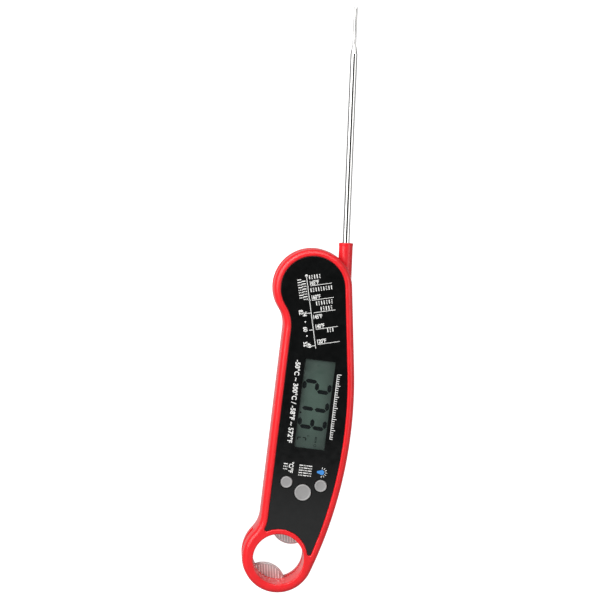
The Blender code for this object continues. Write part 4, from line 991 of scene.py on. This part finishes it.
def guide():
    """The temperature guide on the head: a scale with dots, ruled rows and numerals."""
    top, foot = front_point(*SCALE_TOP), front_point(*SCALE_FOOT)
    along = Vector((math.cos(GUIDE_TURN), math.sin(GUIDE_TURN)))
    up = Vector((-along.y, along.x))
    loops = [line(top, foot, 0.3 * MM)]
    for share, radius in SCALE_DOTS:
        loops.append([polar(top + (foot - top) * share, radius * MM, math.pi / 8 * i)
                      for i in range(16)])
    for share in SCALE_TICKS:
        start = top + (foot - top) * share
        loops.append(line(start, start - along * 1.9 * MM, 0.28 * MM))
    texts = []
    small = 1.85 * MM
    for x, y, length, numerals in GUIDE_ROWS:
        start = front_point(x, y)
        loops.append(line(start, start + along * length * MM, 0.24 * MM))
        if numerals:
            texts.append(text_mesh("numerals", numerals, small, start + up * 0.45 * MM
                                   - along * 0.35 * MM, GUIDE_TURN, 0.92, 0.78))
    for x, y, length in ((-2.5, 133.7, 7.2), (-1.0, 127.8, 11.2), (2.4, 121.9, 9.2),
                         (4.9, 119.7, 6.9), (9.3, 110.0, 4.4)):
        loops += dashes(front_point(x, y), length * MM, small, GUIDE_TURN)
    texts.append(text_mesh("numerals", "145°F", small, front_point(1.7, 115.3), GUIDE_TURN,
                           0.92, 0.78))
    down = GUIDE_TURN - math.pi / 2
    for x, y in ((-8.1, 132.9), (-6.0, 132.5)):
        loops += dashes(front_point(x, y), 10.2 * MM, small, down, "1101001011")
    for x, y, numerals in ((-5.5, 118.7, "82"), (-3.7, 118.1, "74"), (-2.4, 111.0, "60"),
                           (-1.4, 104.0, "52"), (0.4, 103.6, "49")):
        texts.append(text_mesh("numerals", numerals, small, front_point(x, y), down, 0.95, 0.9))
    for x, y in ((-1.66, 113.58), (-0.05, 107.1)):
        loops.append([polar(front_point(x, y), 0.34 * MM, math.pi / 6 * i) for i in range(12)])
    print_on_panel("guide_print", loops, texts)


def range_print():
    """The measuring range beside the display, and a graduated strip opposite."""
    size = 2.25 * MM
    start = front_point(-3.75, 95.3)
    texts = [text_mesh("range", "-50°C ~ 300°C / -58°F ~ 572°F", size, start,
                       math.radians(-88.6), 1.05, 0.92)]
    loops = []
    strokes = 30
    for i in range(strokes):
        along = i / (strokes - 1)
        foot = front_point(16.7 + 0.4 * along, 90.6 - 30.9 * along)
        tall = 2.0 if i % 5 == 0 else 1.25
        loops.append(line(foot, foot + Vector((tall * MM, 0.0)), 0.34 * MM))
    loops.append(line(front_point(16.7, 90.6), front_point(17.1, 59.7), 0.3 * MM))
    print_on_panel("range_print", loops, texts)


def button_print():
    """Marks above the buttons: degree scales, a stack of bars and a lamp."""
    size = 2.1 * MM
    down = -math.pi / 2
    texts = [text_mesh("units", "°C/°F", size, front_point(-0.5, 46.8), down, 1.0, 0.78)]
    loops = dashes(front_point(-3.1, 45.9), 4.6 * MM, size * 0.9, down, "1001")
    for x, pattern in ((4.4, "10110"), (6.6, "01011"), (8.7, "101001")):
        loops += dashes(front_point(x, 46.0), 6.4 * MM, size * 0.85, down, pattern)
    lamp = front_point(15.4, 43.4)
    for i in range(7):
        turn = math.radians(-90 + 30 * i)
        loops.append(line(polar(lamp, 1.55 * MM, turn), polar(lamp, 2.5 * MM, turn), STROKE))
    print_on_panel("button_print", loops, texts)
    bulb = [polar(lamp, 1.15 * MM, math.radians(-120 + 20 * i)) for i in range(13)]
    neck = [lamp + Vector(corner) * MM for corner in ((-1.5, 0.62), (-2.3, 0.45), (-2.3, -0.45),
                                                     (-1.5, -0.62))]
    print_on_panel("lamp_print", [bulb + neck], [], BLUE_PRINT)


# ---------------------------------------------------------------- buttons

def button(label):
    """A moulded cap with a raised rim, down to the flange that holds it in."""
    node = "button_" + label
    low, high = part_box(node)
    centre = centre_of(node)
    flange = reach_of(node)
    radius = flange - CAP_FLANGE
    flange_top = PLATE_BOTTOM - GAP
    top = high.z
    dish = 0.12 * MM
    rim = 0.55 * MM
    profile = [(0.0, top - dish), (radius - rim - 0.4 * MM, top - dish),
               (radius - rim - 0.1 * MM, top - dish * 0.6), (radius - rim, top)]
    bent = rounding(radius, top - 0.3 * MM, -0.3 * MM, 0.3 * MM)
    profile += bent[::-1] + [(radius, top - 0.3 * MM), (radius, flange_top), (flange, flange_top),
                             (flange, low.z), (0.0, low.z)]
    mesh = turned(label, profile, centre, 72)
    made = piece("cap_" + label, mesh, GREY_BUTTON, node_body(node), "grey_button", [node])
    mesh.materials.append(BUTTON_RIM_HIGHLIGHT)
    # The rim's top faces take the lighter grey of the painted highlight.
    for face in mesh.polygons:
        reach = (face.center.xy - centre).length
        if reach > radius - rim - 0.1 * MM and face.center.z > top - dish:
            face.material_index = 1
    return made


def node_body(node):
    return frame["nodes"][node]["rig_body"]


# ---------------------------------------------------------------- opener, door and fasteners

def opener_humps(radius):
    humps = ((TONGUE_ANGLE - math.pi, REST_HALF_WIDTH, REST_REACH),
             (TONGUE_ANGLE, TONGUE_HALF_WIDTH, TONGUE_REACH))
    return humped_arcs(HOLE, radius, humps)


def opener():
    """The steel plate: rolled edges on the tongue and the rest, with raised grip ridges."""
    low, high = OPENER_LOW.z, OPENER_HIGH.z
    arcs = opener_humps(OPENER_INNER)
    edge = 0.6 * MM
    section = [(edge, low - WALL), (edge, low)]
    section += [(grow, low + edge - (level - low)) for grow, level in
                rounding(0.0, low, edge, edge)][::-1]
    section += [(0.0, low + edge), (0.0, high - edge)]
    section += rounding(0.0, high - edge, edge, edge) + [(edge, high + WALL)]
    hole = stack("humped_hole", lambda grow: arcs_loop(arcs, grow), section)
    plate_radius = (OPENER_HIGH.x - OPENER_LOW.x) / 2
    mesh = cut("opener", disc_mesh(HOLE, plate_radius, low, high, 128), hole)
    piece("opener", mesh, BRUSHED, "handle", "stainless_steel", ["opener_plate"])

    ridge = 0.22 * MM
    pitch = 1.3 * MM
    loops = []
    lean = Vector((math.cos(math.radians(100)), math.sin(math.radians(100))))
    across = Vector((lean.y, -lean.x))
    for i in range(-12, 13):
        middle = HOLE + across * i * pitch
        loops.append(line(middle - lean * 13 * MM, middle + lean * 13 * MM, 0.45 * MM))
    ridges = shapes_mesh("ridges", loops, high - ridge, 2 * ridge)
    inside = stack("inner", lambda grow: arcs_loop(arcs, grow),
                   [(edge * 1.6, low), (edge * 1.6, high + WALL)])
    kept = combined("opener_ridges", ridges,
                    [("INTERSECT", disc_mesh(HOLE, OPENER_INNER, low, high + WALL, 128)),
                     ("DIFFERENCE", inside)])
    piece("opener_ridges", kept, PALE_RIDGE_STEEL, "handle", "stainless_steel")


def battery_door():
    """The round door, with its coin slot, finger dimples and lugs."""
    face, top = DOOR_RECESS, DOOR_RECESS + DOOR_THICKNESS
    core = DOOR_RADIUS - DOOR_STEP
    middle = (face + top) / 2
    groove = 0.6 * MM
    floor = DOOR_RADIUS - 0.9 * MM
    profile = [(0.0, DOOR_HIGH.z), (core, DOOR_HIGH.z), (core, top), (DOOR_RADIUS, top),
               (DOOR_RADIUS, middle + groove), (floor, middle + groove), (floor, middle - groove),
               (DOOR_RADIUS, middle - groove), (DOOR_RADIUS, face + GAP)]
    profile += [(DOOR_RADIUS - GAP, face), (core * 0.84, face), (core * 0.82, face + 0.25 * MM),
                (core * 0.78, face + 0.25 * MM), (core * 0.76, face), (0.0, face)]
    slot = stack("coin_slot",
                 lambda grow: rounded_rectangle(CELL, COIN_SLOT / 2 + Vector((grow, grow)),
                                                COIN_SLOT.y / 2.5 + grow),
                 [(0.35 * MM, -WALL), (0.35 * MM, face), (0.0, face + 0.3 * MM),
                  (-0.1 * MM, face + COIN_DEPTH)])
    steps = cuts(slot)
    lug_radius = DOOR_HIGH.x - CELL.x
    for index in range(3):
        angle = index * 2 * math.pi / 3
        half = lug_radius * math.sin(math.radians(11))
        lug = box_mesh("lug", (core - 2 * MM, -half, top + GAP),
                       (lug_radius - 0.15 * MM, half, DOOR_HIGH.z))
        steps.append(("UNION", turn_and_place(lug, angle, CELL)))
    for index in range(12):
        angle = index * math.pi / 6 + math.pi / 12
        dimple = turned("dimple", [(0.0, face + 0.35 * MM), (0.35 * MM, face + 0.3 * MM),
                                   (0.6 * MM, face - WALL), (0.0, face - WALL)],
                        polar(CELL, core * 0.93, angle), 16)
        steps += cuts(dimple)
    mesh = combined("door", turned("door", profile, CELL, 128), steps)
    piece("door", mesh, RED, "battery_door", "red_shell", ["battery_door"])


def magnet():
    radius = reach_of("magnet")
    chamfer = 0.25 * MM
    profile = [(0.0, MAGNET_HIGH.z), (radius, MAGNET_HIGH.z), (radius, chamfer),
               (radius - chamfer, 0.0), (1.1 * MM, 0.0), (0.5 * MM, 0.35 * MM), (0.0, 0.4 * MM)]
    piece("back_magnet", turned("back_magnet", profile, MAGNET, 96), MAGNET_PLATE, "handle",
          "magnet_plate", ["magnet"])


def screw(node):
    """A pan-head screw whose head, with a cross recess, points down."""
    low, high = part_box(node)
    centre, head = centre_of(node), reach_of(node)
    shank = shank_of(node)
    depth = 1.2 * MM
    seat = low.z + depth
    profile = [(0.0, high.z), (shank * 0.4, high.z), (shank, high.z - shank)]
    pitch = 0.5 * MM
    level = high.z - shank - pitch
    while level > seat + 2 * pitch:
        profile += [(shank * 0.82, level), (shank, level - pitch / 2)]
        level -= pitch
    profile += [(shank, seat), (head, seat), (head, seat - depth * 0.45)]
    for i in range(1, 7):
        turn = math.pi / 2 * i / 6
        profile.append((head * math.cos(turn), seat - depth * (0.45 + 0.55 * math.sin(turn))))
    mesh = turned("screw", profile, centre, 48)
    steps = []
    for turn in (math.pi / 4, -math.pi / 4):
        arm = box_mesh("recess", (-head * 0.55, -head * 0.13, -depth),
                       (head * 0.55, head * 0.13, depth * 0.55))
        steps += cuts(turn_and_place(arm, turn, centre, low.z))
    piece(node + "_fine", combined("screw", mesh, steps), SCREW_STEEL, "handle", "screw_steel",
          [node])


# ---------------------------------------------------------------- probe

def on_probe(mesh, along_axis=True, offset=0.0):
    """Moves a mesh from the probe's frame to its unfolded place."""
    move = Matrix.Translation((*PIVOT, PROBE_LEVEL)) @ Matrix.Rotation(PROBE_LEAN, 4, "Z")
    if along_axis:
        move = move @ Matrix.Translation((offset, 0.0, 0.0)) @ Matrix.Rotation(-math.pi / 2, 4, "X")
    mesh.transform(move)
    return mesh


def probe_arm():
    half = HUB_HALF_HEIGHT
    edge = 0.4 * MM
    hub = [(0.0, half), (HUB_RADIUS - edge, half), (HUB_RADIUS, half - edge),
           (HUB_RADIUS, edge - half), (HUB_RADIUS - edge, -half), (0.0, -half)]
    lip = COLLAR_RADIUS + COLLAR_LIP
    end = COLLAR_END
    collar = [(0.0, end - 0.25 * MM), (TUBE_RADIUS + GAP, end - 0.25 * MM),
              (TUBE_RADIUS + 2 * GAP, end), (lip - GAP, end), (lip, end - GAP),
              (lip, end - 1.3 * MM), (COLLAR_RADIUS, end - 1.7 * MM), (COLLAR_RADIUS, 0.0),
              (0.0, 0.0)]
    seat = POST_RADIUS + GAP + SEAL_ROOM
    seal_depth = half - SEAL_ROOM
    washer_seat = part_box("friction_washer")[0].z - GAP / 2 - PROBE_LEVEL
    post_hole = [(0.0, half + WALL), (seat, half + WALL), (seat, seal_depth),
                 (POST_RADIUS + RUNNING, seal_depth), (POST_RADIUS + RUNNING, -seal_depth),
                 (seat, -seal_depth), (seat, -half - WALL), (0.0, -half - WALL)]
    washer = [(WASHER_OUTER, half + WALL), (WASHER_OUTER, washer_seat),
              (WASHER_INNER, washer_seat), (WASHER_INNER, half + WALL)]
    magnet_place = Vector((HUB_RADIUS * 0.5, -HUB_RADIUS * 0.6))
    bore = [(0.0, end + WALL), (TUBE_RADIUS + 0.06 * MM, end + WALL),
            (TUBE_RADIUS + 0.06 * MM, TUBE_SEAT), (0.0, TUBE_SEAT)]
    way, way_right = CABLE_WAY, PROBE_OFFSET + CABLE_WAY
    steps = [("UNION", on_probe(turned("collar", collar, sides=64), offset=PROBE_OFFSET))]
    steps += cuts(on_probe(turned("bore", bore, sides=48), offset=PROBE_OFFSET))
    in_hub = (
        turned("post", post_hole, sides=64), turned("washer", washer, sides=64),
        disc_mesh(magnet_place, HUB_MAGNET_RADIUS, -half - WALL, HUB_MAGNET_DEPTH - half, 32),
        box_mesh("way", (PROBE_OFFSET - way, COLLAR_RADIUS, -way),
                 (way_right, TUBE_SEAT + GAP, way)),
        box_mesh("across", (POST_RADIUS, COLLAR_RADIUS, -way),
                 (way_right, COLLAR_RADIUS + 2 * way, half + WALL)),
    )
    steps += cuts(*[on_probe(mesh, False) for mesh in in_hub])
    mesh = combined("arm", on_probe(turned("hub", hub, sides=128), False), steps)
    piece("arm", mesh, ARM_RED, "probe", "red_arm", ["probe_arm"])


def probe_tube():
    shoulder = PROBE_REACH - THIN_LENGTH - TAPER_LENGTH
    bore_end = PROBE_REACH - POINT_LENGTH
    blunt = 0.12 * MM
    profile = [(0.0, PROBE_REACH), (blunt, PROBE_REACH - blunt / 2),
               (THIN_RADIUS - 0.08 * MM, PROBE_REACH - POINT_LENGTH + 0.1 * MM),
               (THIN_RADIUS, PROBE_REACH - POINT_LENGTH - 0.3 * MM),
               (THIN_RADIUS, shoulder + TAPER_LENGTH + 0.2 * MM),
               (THIN_RADIUS + 0.03 * MM, shoulder + TAPER_LENGTH),
               (TUBE_RADIUS - 0.03 * MM, shoulder), (TUBE_RADIUS, shoulder - 0.2 * MM),
               (TUBE_RADIUS, TUBE_SEAT), (TUBE_BORE, TUBE_SEAT), (TUBE_BORE, shoulder),
               (THIN_BORE, shoulder + TAPER_LENGTH), (THIN_BORE, bore_end), (0.0, bore_end)]
    mesh = on_probe(turned("tube", profile, sides=48), offset=PROBE_OFFSET)
    piece("tube", mesh, STEEL, "probe", "stainless_steel", ["probe_tube"], math.radians(40))


# ---------------------------------------------------------------- the object

front_shell()
back_shell()
face_panel()
window()
display()
guide()
range_print()
button_print()
for button_label in BUTTONS:
    button(button_label)
opener()
battery_door()
magnet()
for screw_node in SCREWS:
    screw(screw_node)
probe_arm()
probe_tube()

for node in frame["nodes"].values():
    for material_slot in node.material_slots:
        material_slot.material = SLOT_FINISH[material_slot.material.name]


# ---------------------------------------------------------------- stage, light and camera

CAMERA_PLACE = Vector((-45.5, 158.6, 650.0)) * MM  # from the ring's centre, at the front's level
CAMERA_TARGET = Vector((-5.55, 123.55, 0.0)) * MM
CAMERA_ROLL = math.radians(7.43)
CAMERA_LENS = 83.15


def camera():
    data = bpy.data.cameras.new("camera")
    data.lens = CAMERA_LENS
    data.sensor_width = 36.0
    data.clip_start = 0.01
    seen = bpy.data.objects.new("camera", data)
    bpy.context.scene.collection.objects.link(seen)
    base = Vector((*RING, FRONT))
    back = (CAMERA_PLACE - CAMERA_TARGET).normalized()
    hint = Vector((-math.sin(CAMERA_ROLL), math.cos(CAMERA_ROLL), 0.0))
    right = hint.cross(back).normalized()
    up = back.cross(right)
    turn = Matrix((right, up, back)).transposed()
    seen.matrix_world = Matrix.Translation(base + CAMERA_PLACE) @ turn.to_4x4()
    bpy.context.scene.camera = seen


def sheet_object(name, centre, size, level, colour, glow):
    half_x, half_y = size[0] / 2, size[1] / 2
    points = [(centre[0] + sx * half_x, centre[1] + sy * half_y, level)
              for sx, sy in ((-1, -1), (1, -1), (1, 1), (-1, 1))]
    mesh = bpy.data.meshes.new(name)
    mesh.from_pydata(points, [], [(0, 1, 2, 3)])
    material = new_finish(name, colour, 0.9)
    shader = material.node_tree.nodes["Principled BSDF"]
    shader.inputs["Specular IOR Level"].default_value = 0.0
    shader.inputs["Emission Color"].default_value = (1.0, 1.0, 1.0, 1.0)
    shader.inputs["Emission Strength"].default_value = glow
    made = add_object(name, mesh, material)
    return made


def area_light(name, place, size, power):
    """A round soft light that points at the middle of the floor."""
    data = bpy.data.lights.new(name, "AREA")
    data.shape = "DISK"
    data.size = size
    data.energy = power
    lamp = bpy.data.objects.new(name, data)
    bpy.context.scene.collection.objects.link(lamp)
    lamp.location = place
    lamp.rotation_euler = (-Vector(place)).to_track_quat("-Z", "Y").to_euler()


def glossy_card(name, centre, size, level, glow):
    """A board that lights only glossy finishes, and that a camera that looks at it sees."""
    card = sheet_object(name, RING + Vector(centre), size, level, (0.01, 0.01, 0.01), glow)
    card.visible_shadow = False
    card.visible_diffuse = False
    return card


def studio():
    floor = sheet_object("floor", (0.0, 0.0), (6.0, 6.0), -0.2 * MM, (0.3, 0.3, 0.3), 1.05)
    floor.visible_diffuse = False
    floor.visible_glossy = False
    table = glossy_card("table_shine", (0.0, 0.0), (6.0, 6.0), -0.15 * MM, 0.55)
    table.visible_camera = False
    glossy_card("ceiling", (0.0, 0.1), (4.0, 4.0), 0.82, 1.0)
    glossy_card("rim_card", (-0.25, 1.55), (1.5, 2.0), 0.81, 5.5)
    glossy_card("dark_card", (0.07, 0.221), (0.66, 0.658), 0.8, 0.0)
    glossy_card("grey_card", (0.07, -0.508), (0.66, 0.8), 0.8, 0.68)
    area_light("key", (-0.6, 0.3, 0.6), 0.9, 9.5)
    area_light("fill", (0.75, 0.15, 0.55), 0.6, 1.8)
    world = bpy.data.worlds.new("studio")
    world.use_nodes = True
    back = world.node_tree.nodes["Background"]
    back.inputs["Color"].default_value = (1.0, 1.0, 1.0, 1.0)
    back.inputs["Strength"].default_value = 0.33
    bpy.context.scene.world = world
    bpy.context.scene.view_settings.view_transform = "Standard"


camera()
studio()
